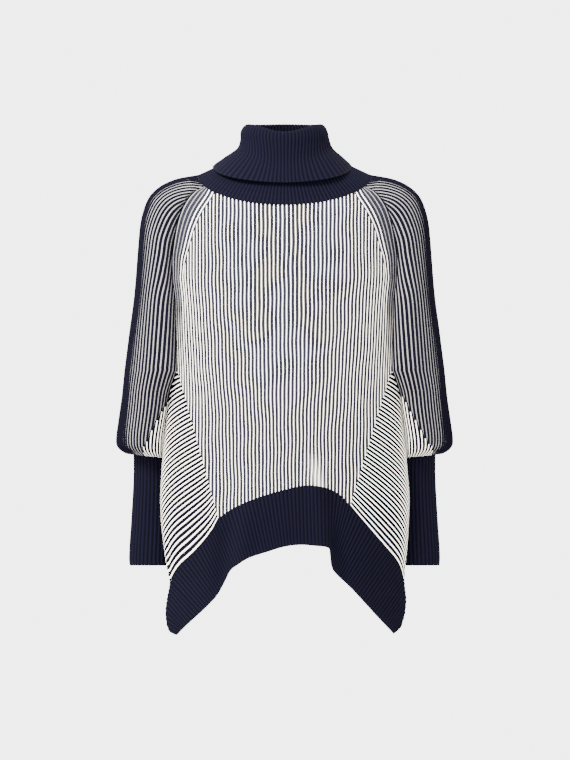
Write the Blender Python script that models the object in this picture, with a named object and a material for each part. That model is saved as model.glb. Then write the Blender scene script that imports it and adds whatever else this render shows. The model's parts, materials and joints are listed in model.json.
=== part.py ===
"""Ribbed turtleneck sweater with raglan sleeves, side gores and a pointed hem.

The sweater hangs as if worn, with nobody in it.  Every piece of cloth is a closed wall a few
millimetres thick round an empty hollow: ribs are raised on the outside, the inside is plain.
Working units are millimetres; the meshes are written in metres.  +Z is up, the front looks
along -Y, and the origin is at the base of the neck, level with the shoulders.
"""

import bisect
import math

import bmesh
import bpy
from mathutils import Vector

# ---------------------------------------------------------------- driving sizes, millimetres
METRE = 0.001
WALL = 2.2            # cloth without its ribs
RIB = 0.8             # how far a rib stands above the groove beside it
SEAM_GAP = 0.15       # each piece stops this far short of its seam
EDGE_BEVEL = 1.6      # the inside of a wall stops this much further short of a seam
FOLD_BEVEL = 3.2      # the same along the sharp side seams
INNER_SET_BACK = 0.6  # the same at open lower edges

UNDERARM_Z = -290.0   # where each sleeve parts from the body
RIBS_HALF = 32        # front ribs from the middle to a raglan seam
RIBS_UPRIGHT = 27     # of these, the ones that stand upright; the rest follow the raglan
SEAM_RIBS = 1.25      # ribs this near the raglan seam take their points at the sleeve's levels
INNER_EDGE_RIB = 0.55 # the inside of a panel stops this many ribs short of the raglan seam
FASHION_Z = -150.0    # below this the upright ribs and the raglan ribs run side by side

NECK_HALF_WIDTH = 128.5
NECK_SIDE_Z = 1.5
NECK_FRONT_DROP = 45.0
NECK_BACK_RISE = 6.0
RAGLAN_TOP_X = 120.0  # where a raglan seam meets the neckline, front and back

# Body outline against height: half width on the wearer's right (-X) and left (+X), how far
# the front and back stand out, where the side seam lies, and how round the sides are
# (2 is an ellipse, 1 comes to a point at the side).
BODY_COLUMNS = ("z", "half_right", "half_left", "front", "back", "side_y", "round")
BODY_STATIONS = (
    (8.0, 129.0, 129.0, 30.0, 86.0, 0.0, 2.0),
    (-10.0, 150.0, 150.0, 50.0, 91.0, 0.0, 2.0),
    (-25.0, 165.0, 165.0, 73.0, 94.0, 0.0, 2.0),
    (-43.5, 173.0, 173.0, 92.0, 97.0, 0.0, 2.0),
    (-70.0, 178.0, 178.0, 99.0, 99.0, 0.0, 2.0),
    (-110.0, 182.0, 182.0, 103.0, 101.0, 0.0, 2.0),
    (-170.0, 181.0, 181.0, 106.0, 103.0, 0.0, 2.0),
    (-230.0, 177.0, 177.0, 108.0, 104.0, -1.0, 2.0),
    (-290.0, 174.0, 174.0, 110.0, 105.0, -4.0, 1.95),
    (-335.0, 175.0, 175.0, 111.0, 106.0, -12.0, 1.6),
    (-395.0, 180.0, 180.0, 112.0, 107.0, -20.0, 1.2),
    (-440.0, 184.0, 184.0, 112.0, 106.0, -20.0, 1.0),
    (-485.0, 186.0, 187.0, 111.0, 105.0, -18.0, 1.0),
    (-515.0, 185.0, 186.0, 110.0, 103.0, -15.0, 1.0),
    (-552.0, 181.0, 184.0, 108.0, 101.0, -12.0, 1.0),
    (-582.0, 177.0, 181.0, 107.0, 100.0, -8.0, 1.0),
    (-606.0, 172.0, 180.0, 106.0, 100.0, -6.0, 1.0),
    (-634.0, 176.5, 182.5, 105.0, 99.0, -5.0, 1.0),
    (-652.0, 178.5, 181.0, 104.0, 98.0, -4.0, 1.0),
    (-670.0, 177.0, 176.5, 103.0, 97.0, -3.0, 1.0),
    (-690.0, 168.0, 169.0, 102.0, 96.0, -2.0, 1.0),
)

# Raglan seam on the front: distance from the middle against height.
RAGLAN_COLUMNS = ("z", "x")
RAGLAN = (
    (-14.6, 120.0), (-20.0, 132.0), (-30.0, 143.0), (-48.0, 154.0), (-70.0, 161.0),
    (-95.0, 165.5), (-121.0, 168.5), (-150.0, 167.5), (-184.0, 163.5), (-244.0, 161.5),
    (-290.0, 160.0),
)

# Line of decreases where the upright ribs run into the raglan ribs.
FASHION_LINE = (
    (-25.5, 104.0), (-38.0, 112.0), (-48.0, 119.0), (-58.5, 125.0), (-69.0, 130.0),
    (-81.0, 135.0), (-94.5, 139.0), (-109.5, 143.0), (-123.0, 147.0), (-150.0, 150.5),
)

# How the ribs spread: reach of the outermost rib, and crowding (1 is even, more crowds the
# outer ribs together).
SPREAD_COLUMNS = ("z", "reach", "crowding")
SPREAD = (
    (-150.0, 168.0, 1.214), (-200.0, 163.0, 1.229), (-290.0, 160.0, 1.20),
    (-320.0, 160.0, 1.11), (-440.0, 171.5, 1.0), (-700.0, 170.0, 1.0),
)

# Seam between the front or back and a side gore, on the wearer's right and left: distance
# from the middle and height at the underarm and at the hem band.
GORE_SEAM_COLUMNS = ("top_x", "top_z", "foot_x", "foot_z")
GORE_SEAMS = {-1: (160.0, -290.0, 98.0, -511.0), 1: (160.0, -290.0, 97.5, -492.0)}

# Hem band: its upper and its lower edge, station by station from the point on the wearer's
# right to the point on the left.  Each row is one rib line.
HEM_COLUMNS = ("top_x", "top_z", "low_x", "low_z")
HEM_STATIONS = (
    (-169.0, -683.0, -162.5, -687.0),
    (-176.0, -663.0, -155.0, -679.0),
    (-175.0, -634.0, -146.0, -670.0),
    (-169.5, -606.0, -127.0, -652.5),
    (-157.0, -585.0, -113.0, -639.0),
    (-139.0, -568.5, -101.0, -625.5),
    (-120.0, -547.5, -91.0, -607.5),
    (-107.0, -529.5, -82.0, -589.5),
    (-98.0, -511.5, -71.0, -580.5),
    (-74.0, -495.0, -53.0, -570.0),
    (-43.5, -481.5, -26.0, -561.0),
    (-11.0, -471.0, -1.0, -553.5),
    (20.0, -463.5, 23.0, -550.5),
    (41.0, -462.0, 44.0, -552.0),
    (66.0, -467.0, 66.0, -555.0),
    (85.0, -478.0, 69.5, -567.0),
    (98.0, -493.5, 71.0, -580.5),
    (110.0, -508.5, 75.0, -590.0),
    (124.0, -525.0, 84.0, -600.0),
    (148.0, -553.5, 103.5, -619.0),
    (167.0, -576.0, 123.0, -640.0),
    (175.0, -592.0, 133.0, -651.0),
    (178.5, -606.0, 141.0, -660.0),
    (182.0, -625.0, 151.0, -670.5),
    (178.5, -652.0, 160.0, -680.0),
    (172.0, -676.0, 164.5, -685.0),
)

HEM_SIDE_ROWS = 3.0   # stations next to each point whose upper end lies on the side seam
HEM_GAP = 0.8         # the gores stop this far above the hem band

# Soft folds that run down the cloth: where each starts and ends, its width and how far it
# stands out (in, where negative).
FOLD_COLUMNS = ("x_top", "z_top", "x_low", "z_low", "width", "depth")
FRONT_FOLDS = (
    (44.0, -400.0, 62.0, -575.0, 15.0, 8.0),
    (58.0, -430.0, 84.0, -590.0, 14.0, -7.0),
    (-84.0, -500.0, -92.0, -610.0, 16.0, -7.0),
    (-58.0, -470.0, -66.0, -590.0, 18.0, 5.0),
    (-20.0, -250.0, -34.0, -480.0, 40.0, 3.0),
    (118.0, -180.0, 96.0, -330.0, 26.0, 3.0),
    (-120.0, -170.0, -104.0, -320.0, 24.0, 3.0),
)
BACK_FOLDS = (
    (-40.0, -410.0, -56.0, -580.0, 18.0, 7.0),
    (-64.0, -430.0, -82.0, -590.0, 16.0, -6.0),
    (70.0, -470.0, 84.0, -600.0, 18.0, -6.0),
    (20.0, -60.0, 30.0, -300.0, 34.0, 3.0),
    (110.0, -200.0, 92.0, -350.0, 26.0, 3.0),
    (-116.0, -170.0, -100.0, -330.0, 28.0, 3.0),
)


# ---------------------------------------------------------------- small numeric helpers
def clamp(value, low=0.0, high=1.0):
    return max(low, min(high, value))


def smooth(value):
    value = clamp(value)
    return value * value * (3.0 - 2.0 * value)


def read_table(table, key, column):
    """Value of a column at a key, along a smooth monotone curve; the keys fall from row to row."""
    if key >= table[0][0]:
        return table[0][column]
    if key <= table[-1][0]:
        return table[-1][column]
    row = bisect.bisect_left([-entry[0] for entry in table], -key) - 1
    row = clamp(row, 0, len(table) - 2)

    def slope(index):
        above, below = table[index], table[index + 1]
        return (below[column] - above[column]) / (below[0] - above[0])

    here = slope(row)
    before = slope(row - 1) if row > 0 else here
    after = slope(row + 1) if row < len(table) - 2 else here
    start = 0.0 if before * here <= 0.0 else 2.0 * before * here / (before + here)
    end = 0.0 if after * here <= 0.0 else 2.0 * after * here / (after + here)
    span = table[row + 1][0] - table[row][0]
    part = (key - table[row][0]) / span
    square, cube = part * part, part ** 3
    return (
        (2 * cube - 3 * square + 1) * table[row][column]
        + (cube - 2 * square + part) * span * start
        + (3 * square - 2 * cube) * table[row + 1][column]
        + (cube - square) * span * end
    )


def body_value(name, z):
    return read_table(BODY_STATIONS, z, BODY_COLUMNS.index(name))


def fold_offset(folds, x, z):
    """How far the folds push the cloth out at one place."""
    total = 0.0
    for x_top, z_top, x_low, z_low, width, depth in folds:
        along = (z - z_top) / (z_low - z_top)
        centre = x_top + (x_low - x_top) * along
        across = (x - centre) / width
        fade = smooth(along * 2.5) * smooth((1.6 - along) * 2.0)
        total += depth * fade * math.exp(-across * across)
    return total


# ---------------------------------------------------------------- surfaces of the body
def body_section(angle, z):
    """A point of the body's outline at one height; 0 is the front middle, pi the back middle.

    A positive angle goes round by the wearer's left (+X), a negative one by the right.
    """
    left = angle > 0.0
    half = body_value("half_left" if left else "half_right", z)
    side = body_value("side_y", z)
    power = 2.0 / body_value("round", z)
    x = half * math.sin(angle)
    lift = abs(math.cos(angle)) ** power
    if abs(angle) <= math.pi / 2:
        y = side - (body_value("front", z) + side) * lift
    else:
        y = side + (body_value("back", z) - side) * lift
    return x, y


def body_point(x, z, facing):
    """A point of the front (facing -1) or the back (facing +1) of the body."""
    half = body_value("half_left" if x > 0.0 else "half_right", z)
    share = clamp(abs(x) / half)
    angle = math.copysign(math.asin(share), x)
    if facing > 0:
        angle = math.copysign(math.pi - abs(angle), x)
    y = body_section(angle, z)[1]
    flat = smooth((1.0 - share) * 4.0)
    folds = FRONT_FOLDS if facing < 0 else BACK_FOLDS
    return Vector((x, y + facing * flat * fold_offset(folds, x, z), z))


def outward(x, z, facing, step=1.5):
    """The direction that the body's surface faces."""
    half = body_value("half_left" if x > 0.0 else "half_right", z)
    inner = min(abs(x) + step, half * 0.995)
    x_high = inner if x > 0.0 else x + step
    x_low = x - step if x > 0.0 else -inner
    across = body_point(x_high, z, facing) - body_point(x_low, z, facing)
    down = body_point(x, z + step, facing) - body_point(x, z - step, facing)
    normal = across.cross(down)
    if normal.y * facing < 0.0:
        normal.negate()
    return normal.normalized()


def neck_height(x, facing):
    share = math.sqrt(max(0.0, 1.0 - (x / NECK_HALF_WIDTH) ** 2))
    if facing < 0:
        return NECK_SIDE_Z - NECK_FRONT_DROP * share
    return NECK_SIDE_Z + NECK_BACK_RISE * share


def neck_point(x, facing):
    """A point of the neckline seam, on the body or, past the raglan seams, on a sleeve."""
    z = neck_height(x, facing)
    if abs(x) <= RAGLAN_TOP_X:
        return body_point(x, z, facing)
    edge = math.copysign(RAGLAN_TOP_X, x)
    depth = body_point(edge, neck_height(edge, facing), facing).y
    room = NECK_HALF_WIDTH ** 2 - RAGLAN_TOP_X ** 2
    share = math.sqrt(max(0.0, NECK_HALF_WIDTH ** 2 - x * x) / room)
    return Vector((x, depth * share, z))


def neck_ring(angle):
    """The neckline seam; 0 is the front middle, positive goes by the wearer's left."""
    facing = -1 if math.cos(angle) >= 0.0 else 1
    return neck_point(NECK_HALF_WIDTH * math.sin(angle), facing)


def raglan_shift(z, facing):
    """The back seams start higher at the neck than the front ones."""
    if facing < 0:
        return z
    rise = neck_height(RAGLAN_TOP_X, 1) - neck_height(RAGLAN_TOP_X, -1)
    return z - rise * smooth((z + 90.0) / 90.0)


def raglan_x(z, facing):
    return read_table(RAGLAN, raglan_shift(z, facing), 1)


def fashion_x(z, facing):
    return read_table(FASHION_LINE, raglan_shift(z, facing), 1)


def rib_x(rib, z, facing):
    """Where a rib line of the front or back lies at one height, ribs counted from the middle."""
    count = abs(rib)
    if z > FASHION_Z and count > RIBS_UPRIGHT:
        start = fashion_x(z, facing)
        share = (count - RIBS_UPRIGHT) / (RIBS_HALF - RIBS_UPRIGHT)
        return math.copysign(start + (raglan_x(z, facing) - start) * share, rib)
    level = min(z, FASHION_Z)
    reach = read_table(SPREAD, level, 1)
    crowding = read_table(SPREAD, level, 2)
    if count > RIBS_UPRIGHT and z > UNDERARM_Z:
        reach = raglan_x(z, facing)
    share = count / RIBS_HALF
    return math.copysign(reach * (crowding * share - (crowding - 1.0) * share ** 3), rib)


def gore_seam_x(z, side):
    top_x, top_z, foot_x, foot_z = GORE_SEAMS[side]
    return top_x + (foot_x - top_x) * (top_z - z) / (top_z - foot_z)


def hem_value(column, place):
    """A column of the hem table at a place counted in stations, smoothed."""
    place = clamp(place, 0.0, len(HEM_STATIONS) - 1.0)
    index = min(int(place), len(HEM_STATIONS) - 2)
    part = place - index
    rows = [HEM_STATIONS[int(clamp(index + k, 0, len(HEM_STATIONS) - 1))] for k in (-1, 0, 1, 2)]
    a, b, c, d = [row[HEM_COLUMNS.index(column)] for row in rows]
    return 0.5 * (
        2 * b + (c - a) * part + (2 * a - 5 * b + 4 * c - d) * part ** 2
        + (3 * b - a - 3 * c + d) * part ** 3
    )


def hem_top_line(steps=400):
    """The hem band's upper edge between its two side corners, as (x, z) from right to left."""
    low, high = HEM_SIDE_ROWS, len(HEM_STATIONS) - 1.0 - HEM_SIDE_ROWS
    places = [low + (high - low) * k / steps for k in range(steps + 1)]
    return [(hem_value("top_x", place), hem_value("top_z", place)) for place in places]


HEM_TOP_LINE = hem_top_line()


def hem_top_z(x):
    """Height of the hem band's upper edge at a distance from the middle."""
    index = clamp(bisect.bisect(HEM_TOP_LINE, (x, 0.0)), 1, len(HEM_TOP_LINE) - 1)
    (x_low, z_low), (x_high, z_high) = HEM_TOP_LINE[index - 1:index + 1]
    return z_low + (z_high - z_low) * clamp((x - x_low) / (x_high - x_low))


# ---------------------------------------------------------------- closed walls
class Wall:
    """A closed wall of cloth built from lines of points that are joined side by side."""

    def __init__(self):
        self.points = []
        self.faces = []

    def line(self, points):
        start = len(self.points)
        self.points.extend(points)
        return list(range(start, len(self.points)))

    def join(self, one, other):
        """Fill the strip between two lines with triangles, always taking the shorter diagonal."""
        i, j = 0, 0
        while i < len(one) - 1 or j < len(other) - 1:
            step_one = i < len(one) - 1
            if step_one and j < len(other) - 1:
                across = self.points[one[i + 1]] - self.points[other[j]]
                back = self.points[one[i]] - self.points[other[j + 1]]
                step_one = across.length <= back.length
            if step_one:
                self.faces.append((one[i], other[j], one[i + 1]))
                i += 1
            else:
                self.faces.append((one[i], other[j], other[j + 1]))
                j += 1

    def join_all(self, lines, closed=False):
        for one, other in zip(lines, lines[1:]):
            self.join(one, other)
        if closed:
            self.join(lines[-1], lines[0])

    def panel(self, outer, inner):
        """Two sheets of lines, joined all round their edges."""
        self.join_all(outer)
        self.join_all(inner)
        self.join(outer[0], inner[0])
        self.join(outer[-1], inner[-1])
        for end in (0, -1):
            self.join([line[end] for line in outer], [line[end] for line in inner])

    def close_tube(self, outer, inner):
        """Join two tubes of lines round their two mouths."""
        for end in (0, -1):
            outer_ring = [line[end] for line in outer]
            inner_ring = [line[end] for line in inner]
            self.join(outer_ring + outer_ring[:1], inner_ring + inner_ring[:1])

    def mirror(self, side):
        """Put a piece that was made on the wearer's right (-1) on the given side."""
        if side > 0:
            self.points = [Vector((-point.x, point.y, point.z)) for point in self.points]

    def build(self, name, colour, roughness=0.9):
        mesh = bpy.data.meshes.new(name)
        mesh.from_pydata([point * METRE for point in self.points], [], self.faces)
        work = bmesh.new()
        work.from_mesh(mesh)
        bmesh.ops.recalc_face_normals(work, faces=work.faces)
        if work.calc_volume(signed=True) < 0.0:
            bmesh.ops.reverse_faces(work, faces=work.faces)
        work.to_mesh(mesh)
        work.free()
        mesh.shade_smooth()
        mesh.set_sharp_from_angle(angle=math.radians(50))
        mesh.materials.append(cloth_material(name, colour, roughness))
        piece = bpy.data.objects.new(name, mesh)
        bpy.context.scene.collection.objects.link(piece)
        return piece


def cloth_material(name, colour, roughness):
    material = bpy.data.materials.new(name + "_knit")
    material.use_nodes = True
    shader = material.node_tree.nodes["Principled BSDF"]
    shader.inputs["Base Color"].default_value = (*colour, 1.0)
    shader.inputs["Roughness"].default_value = roughness
    shader.inputs["Metallic"].default_value = 0.0
    return material


CREAM = (0.80, 0.77, 0.72)
GREY_BEIGE = (0.42, 0.39, 0.38)
NAVY = (0.012, 0.011, 0.030)


def raised(rib):
    """Height of the ribs at a rib count: 0 in a groove, RIB on a crest."""
    return RIB * (0.5 - 0.5 * math.cos(2.0 * math.pi * rib))


def levels(low, high, step):
    """Heights strictly between two ends, about a step apart."""
    count = max(1, round((high - low) / step))
    return [low + (high - low) * k / count for k in range(1, count)]


def crossing(inside, start, end):
    """Where a test that holds at the start stops holding on the way to the end."""
    for _ in range(30):
        middle = (start + end) / 2.0
        if inside(middle):
            start = middle
        else:
            end = middle
    return start


# ---------------------------------------------------------------- front and back
ROW_STEP = 90.0       # height between the rows of points on the front and back
UPPER_ROW_STEP = 55.0 # the same above the foot of the decreases
TAPER = 4.0           # a rib sinks into its seam over this length


def panel_bottom(rib, facing):
    """Height at which a rib line of the front or back ends, on the hem or on a gore seam."""
    side = -1 if rib < 0 else 1

    def inside(z):
        x = rib_x(rib, z, facing)
        return z > hem_top_z(x) and (z > GORE_SEAMS[side][1] or abs(x) < gore_seam_x(z, side))

    return crossing(inside, UNDERARM_Z + 30.0, -560.0)


def panel_top(rib, facing, place=rib_x):
    """Height at which it ends above: on the neckline, or on the line of decreases."""
    decreased = abs(rib) <= RIBS_UPRIGHT and place is rib_x

    def inside(z):
        x = place(rib, z, facing)
        if abs(x) < NECK_HALF_WIDTH and z > neck_height(x, facing):
            return False
        return not (decreased and z > FASHION_Z and abs(x) > fashion_x(z, facing))

    return crossing(inside, FASHION_Z - 1.0, 12.0)


def meets_neck(rib, facing, z):
    x = rib_x(rib, z, facing)
    return abs(x) < NECK_HALF_WIDTH and z > neck_height(x, facing) - 0.5


def spread_x(rib, z, facing):
    """Like rib_x, but every line narrows with the raglan seam; used for the plain inside."""
    if z <= FASHION_Z:
        return rib_x(rib, z, facing)
    share = raglan_x(z, facing) / raglan_x(FASHION_Z, facing)
    return rib_x(rib, FASHION_Z, facing) * share


def panel_line(rib, facing, low, high, height, place=rib_x):
    """Points up one rib line, standing out by height away from its ends."""
    split = clamp(FASHION_Z, low + 1.0, high - 1.0)
    places = [low] + levels(low, split, ROW_STEP) + [split]
    places += levels(split, high, UPPER_ROW_STEP) + [high]
    if abs(rib) > RIBS_HALF - SEAM_RIBS:
        column = SLEEVE_COLUMNS.index("front_z" if facing < 0 else "back_z")
        seam = [row[column] for row in reversed(SLEEVE_STATIONS)]
        places = [low] + [z for z in seam if low + 1.0 < z < high - 0.5] + [high]
    if height > 0.0:
        places = sorted(places + [low + TAPER, high - TAPER])
    points = []
    for z in places:
        x = place(rib, z, facing)
        point = body_point(x, z, facing)
        if z not in (low, high):
            point = point + outward(x, z, facing) * height
        points.append(point)
    return points


def make_panel(name, facing):
    wall = Wall()
    lines = {}
    for step in range(-2 * RIBS_HALF, 2 * RIBS_HALF + 1):
        rib = step / 2.0
        low = panel_bottom(rib, facing) + SEAM_GAP
        high = panel_top(rib, facing) - SEAM_GAP
        height = raised(rib)
        shown = rib
        if abs(rib) == RIBS_HALF:
            shown = math.copysign(RIBS_HALF - SEAM_GAP / 3.0, rib)
        points = panel_line(shown, facing, low, high, height)
        lines[step] = wall.line(points)

    upright = 2 * RIBS_UPRIGHT
    corner = upright - 1
    while not meets_neck(corner / 2.0, facing, panel_top(corner / 2.0, facing)):
        corner -= 1
    for side in (-1, 1):
        decreases = [lines[side * step][-1] for step in range(upright - 1, corner - 1, -1)]
        raglan_ribs = [lines[side * step] for step in range(upright + 1, 2 * RIBS_HALF + 1)]
        wall.join_all([lines[side * upright] + decreases] + raglan_ribs)
    wall.join_all([lines[step] for step in range(-upright, upright + 1)])

    inner = []
    for step in range(-RIBS_HALF, RIBS_HALF + 1, 2):
        rib = math.copysign(min(abs(step), RIBS_HALF - INNER_EDGE_RIB), step)
        low = panel_bottom(rib, facing) + EDGE_BEVEL
        high = panel_top(rib, facing, spread_x) - EDGE_BEVEL
        points = panel_line(rib, facing, low, high, 0.0, spread_x)
        inner.append(wall.line([p - outward(p.x, p.z, facing) * WALL for p in points]))
    wall.join_all(inner)

    order = range(-2 * RIBS_HALF, 2 * RIBS_HALF + 1)
    neck = [lines[step][-1] for step in order if abs(step) <= corner or abs(step) > upright]
    wall.join(lines[-2 * RIBS_HALF], inner[0])
    wall.join(lines[2 * RIBS_HALF], inner[-1])
    wall.join([lines[step][0] for step in order], [line[0] for line in inner])
    wall.join(neck, [line[-1] for line in inner])
    return wall.build(name, CREAM)


# ---------------------------------------------------------------- side gores
GORE_RIBS = 38        # ribs that end on one gore seam
GORE_DIP = 12.0       # how far the upper ribs start below the underarm at the side seam


def side_seam_angle(z, side, bevel):
    """Angle round the body at which a gore stops short of the side seam."""
    seam = Vector(body_section(side * math.pi / 2.0, z))

    def inside(angle):
        return (Vector(body_section(side * angle, z)) - seam).length > bevel

    return crossing(inside, math.pi / 3.0, math.pi / 2.0)


def straight_gore_place(run, share, side, bevel):
    """A place of a gore in the front view, with the rib lines straight in height."""
    half_name = "half_left" if side > 0 else "half_right"
    foot_z = hem_top_z(side * GORE_SEAMS[side][2])
    corner_z = hem_top_z(side * 300.0)
    near_z = UNDERARM_Z + (foot_z - UNDERARM_Z) * run
    far_z = UNDERARM_Z + (corner_z - UNDERARM_Z) * run - GORE_DIP * smooth(run * 16.0) * (1.0 - run)
    near_x = gore_seam_x(near_z, side) + SEAM_GAP + bevel
    near_angle = math.asin(near_x / body_value(half_name, near_z))
    far_angle = math.pi / 2.0
    if bevel:
        far_angle = side_seam_angle(far_z, side, FOLD_BEVEL)
    z = far_z + (near_z - far_z) * share
    return body_value(half_name, z) * math.sin(far_angle + (near_angle - far_angle) * share), z


def gore_place(run, share, side, bevel=0.0):
    """The same with the lower rib lines following the hem band: run goes down from the
    underarm to the band, share from the side seam to the seam with the front or back."""
    x_out, z = straight_gore_place(run, share, side, bevel)
    last_x, last_z = straight_gore_place(1.0, share, side, bevel)
    z += (hem_top_z(side * last_x) - last_z) * run ** 6
    low_room = hem_top_z(side * x_out) + HEM_GAP + bevel
    return side * x_out, clamp(z, low_room, UNDERARM_Z - SEAM_GAP - bevel)


def gore_line(run, side, facing, height, bevel):
    height *= smooth((run - 0.03) * 10.0)
    shares = [0.0, 0.5, 1.0]
    if height > 0.0 and run > 0.1:
        shares = [0.0, 0.08, 0.5, 0.92, 1.0]
    if run == 1.0:
        shares = [k / 20.0 for k in range(19)] + [0.925, 0.95, 0.975, 1.0]
    line = []
    for share in shares:
        x, z = gore_place(run, share, side, bevel)
        lift = height if 0.0 < share < 1.0 else 0.0
        lift -= WALL if bevel else 0.0
        point = body_point(x, z, facing) + outward(x, z, facing) * lift
        clear = SEAM_GAP + (INNER_SET_BACK if bevel else 0.0)
        side_y = body_value("side_y", z)
        if (point.y - side_y) * facing < clear:
            point.y = side_y + facing * clear
        line.append(point)
    return line


def make_gore(name, side, facing):
    wall = Wall()
    outer, inner = [], []
    for step in range(2 * GORE_RIBS + 1):
        run = step / (2.0 * GORE_RIBS)
        outer.append(wall.line(gore_line(run, side, facing, raised(step / 2.0), 0.0)))
    for step in range(GORE_RIBS // 2 + 1):
        run = step / (GORE_RIBS // 2)
        inner.append(wall.line(gore_line(run, side, facing, 0.0, EDGE_BEVEL)))
    wall.panel(outer, inner)
    return wall.build(name, CREAM)


# ---------------------------------------------------------------- hem bands
HEM_RIBS = 32         # raised ribs along one band; every second real rib


def hem_place(place, share, facing, depth=0.0, height=0.0):
    """A point of a hem band: place counts stations along it, share goes from low to top edge."""
    last = len(HEM_STATIONS) - 1.0
    top_x, top_z = hem_value("top_x", place), hem_value("top_z", place)
    low_x, low_z = hem_value("low_x", place), hem_value("low_z", place)
    if place <= HEM_SIDE_ROWS:
        top_x = -body_value("half_right", top_z) + SEAM_GAP
    elif place >= last - HEM_SIDE_ROWS:
        top_x = body_value("half_left", top_z) - SEAM_GAP
    x = low_x + (top_x - low_x) * share
    z = low_z + (top_z - low_z) * share
    normal = outward(x, z, facing)
    return body_point(x, z, facing) + normal * (height - depth)


def hem_line(place, facing, height, bevel):
    top_z, low_z = hem_value("top_z", place), hem_value("low_z", place)
    length = math.hypot(
        hem_value("top_x", place) - hem_value("low_x", place), top_z - low_z
    )
    last = len(HEM_STATIONS) - 1.0
    on_side = place <= HEM_SIDE_ROWS or place >= last - HEM_SIDE_ROWS
    top_bevel = (FOLD_BEVEL if on_side else EDGE_BEVEL) if bevel else SEAM_GAP
    start = (INNER_SET_BACK if bevel else 0.0) / length
    end = 1.0 - top_bevel / length
    taper = min(TAPER / length, 0.2)
    shares = [start, 0.35, 0.68, end]
    if height > 0.0:
        shares = [start, start + taper, 0.35, 0.68, end - taper, end]
    depth = WALL if bevel else 0.0
    line = []
    for share in shares:
        lift = height if share not in (start, end) else 0.0
        line.append(hem_place(place, share, facing, depth, lift))
    return line


def make_hem(name, facing):
    wall = Wall()
    last = len(HEM_STATIONS) - 1.0
    outer, inner = [], []
    for step in range(2 * HEM_RIBS + 1):
        place = last * step / (2.0 * HEM_RIBS)
        outer.append(wall.line(hem_line(place, facing, raised(step / 2.0), False)))
    for step in range(HEM_RIBS + 1):
        place = 0.25 + (last - 0.5) * step / HEM_RIBS
        inner.append(wall.line(hem_line(place, facing, 0.0, True)))
    wall.panel(outer, inner)
    return wall.build(name, NAVY)


# ---------------------------------------------------------------- sleeves
# Sections of the right sleeve, from the neckline down: the shoulder and outer edge of the
# arm (distance from the middle, height, depth), the heights at which the section meets the
# front and the back raglan seam, and how far the sleeve bulges beside them.
SLEEVE_COLUMNS = ("out_x", "out_z", "out_y", "front_z", "back_z", "bulge")
SLEEVE_STATIONS = (
    (128.2, 1.0, 0.0, -14.5, 3.2, 0.0),
    (146.0, -1.0, 1.0, -19.0, -3.0, 3.0),
    (164.0, -5.0, 3.0, -25.0, -12.0, 7.0),
    (184.0, -14.0, 6.0, -35.0, -24.0, 11.0),
    (200.0, -28.0, 10.0, -48.0, -40.0, 16.0),
    (209.0, -46.0, 14.0, -64.0, -58.0, 21.0),
    (215.0, -70.0, 17.0, -86.0, -82.0, 26.0),
    (218.0, -100.0, 19.0, -112.0, -110.0, 31.0),
    (224.0, -175.0, 22.0, -178.0, -178.0, 40.0),
    (231.5, -232.0, 22.0, -232.0, -232.0, 42.0),
    (239.0, -290.0, 22.0, -290.0, -290.0, 42.0),
)
# Below the underarm the sleeve is a closed tube: its outer edge, the depths at which it
# tucks in beside the body in front and behind, how close it comes to the middle, the bulge,
# and how far it is gathered towards the cuff.
TUBE_COLUMNS = ("z", "out_x", "out_y", "front_y", "back_y", "limit", "bulge", "gather")
TUBE_STATIONS = (
    (-290.0, 239.0, 22.0, -43.6, 37.8, 160.0, 42.0, 0.0),
    (-330.0, 243.0, 22.0, -28.0, 46.0, 163.0, 41.0, 0.0),
    (-365.0, 248.0, 22.0, -22.0, 52.0, 165.0, 37.0, 0.0),
    (-392.0, 251.5, 22.0, -20.0, 54.0, 165.5, 31.0, 0.0),
    (-406.0, 252.5, 22.0, -20.0, 54.0, 165.5, 26.0, 0.12),
    (-416.0, 252.5, 22.0, -20.0, 54.0, 165.5, 24.0, 0.6),
    (-417.0, 252.5, 22.0, -20.0, 54.0, 165.5, 24.0, 1.0),
)
SLEEVE_RIB_PITCH = 7.0
SLEEVE_SIDE_LINES = 8     # plain lines on the side of the sleeve that lies against the body
SLEEVE_BODY_GAP = 0.35    # between the sleeve and the body at the underarm
SLEEVE_BODY_SPREAD = 0.12 # how fast that gap opens below it
SLEEVE_BODY_ROOM = 4.0    # and how far it opens

CUFF_TOP_Z = -417.5
CUFF_COLUMNS = ("z", "centre_x", "centre_y", "half_width", "half_depth")
CUFF_STATIONS = (
    (-417.0, 196.0, 23.0, 30.0, 25.0),
    (-450.0, 195.0, 24.0, 31.0, 24.5),
    (-515.0, 196.5, 26.0, 33.0, 24.0),
    (-560.0, 198.5, 28.0, 34.0, 24.0),
    (-583.0, 199.5, 29.0, 33.5, 24.0),
)
CUFF_RIBS = 20


def bezier(points, share):
    a, b, c, d = points
    rest = 1.0 - share
    return (
        a * rest ** 3 + b * (3.0 * rest * rest * share)
        + c * (3.0 * rest * share * share) + d * share ** 3
    )


class Arc:
    """A curve in space that can be read by the distance along it."""

    def __init__(self, points):
        self.points = points
        self.reach = [0.0]
        for one, other in zip(points, points[1:]):
            self.reach.append(self.reach[-1] + (other - one).length)
        self.length = self.reach[-1]

    def at(self, distance):
        distance = clamp(distance, 0.0, self.length)
        index = int(clamp(bisect.bisect(self.reach, distance), 1, len(self.reach) - 1))
        span = self.reach[index] - self.reach[index - 1]
        part = 0.0 if span == 0.0 else (distance - self.reach[index - 1]) / span
        return self.points[index - 1].lerp(self.points[index], part)


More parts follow.
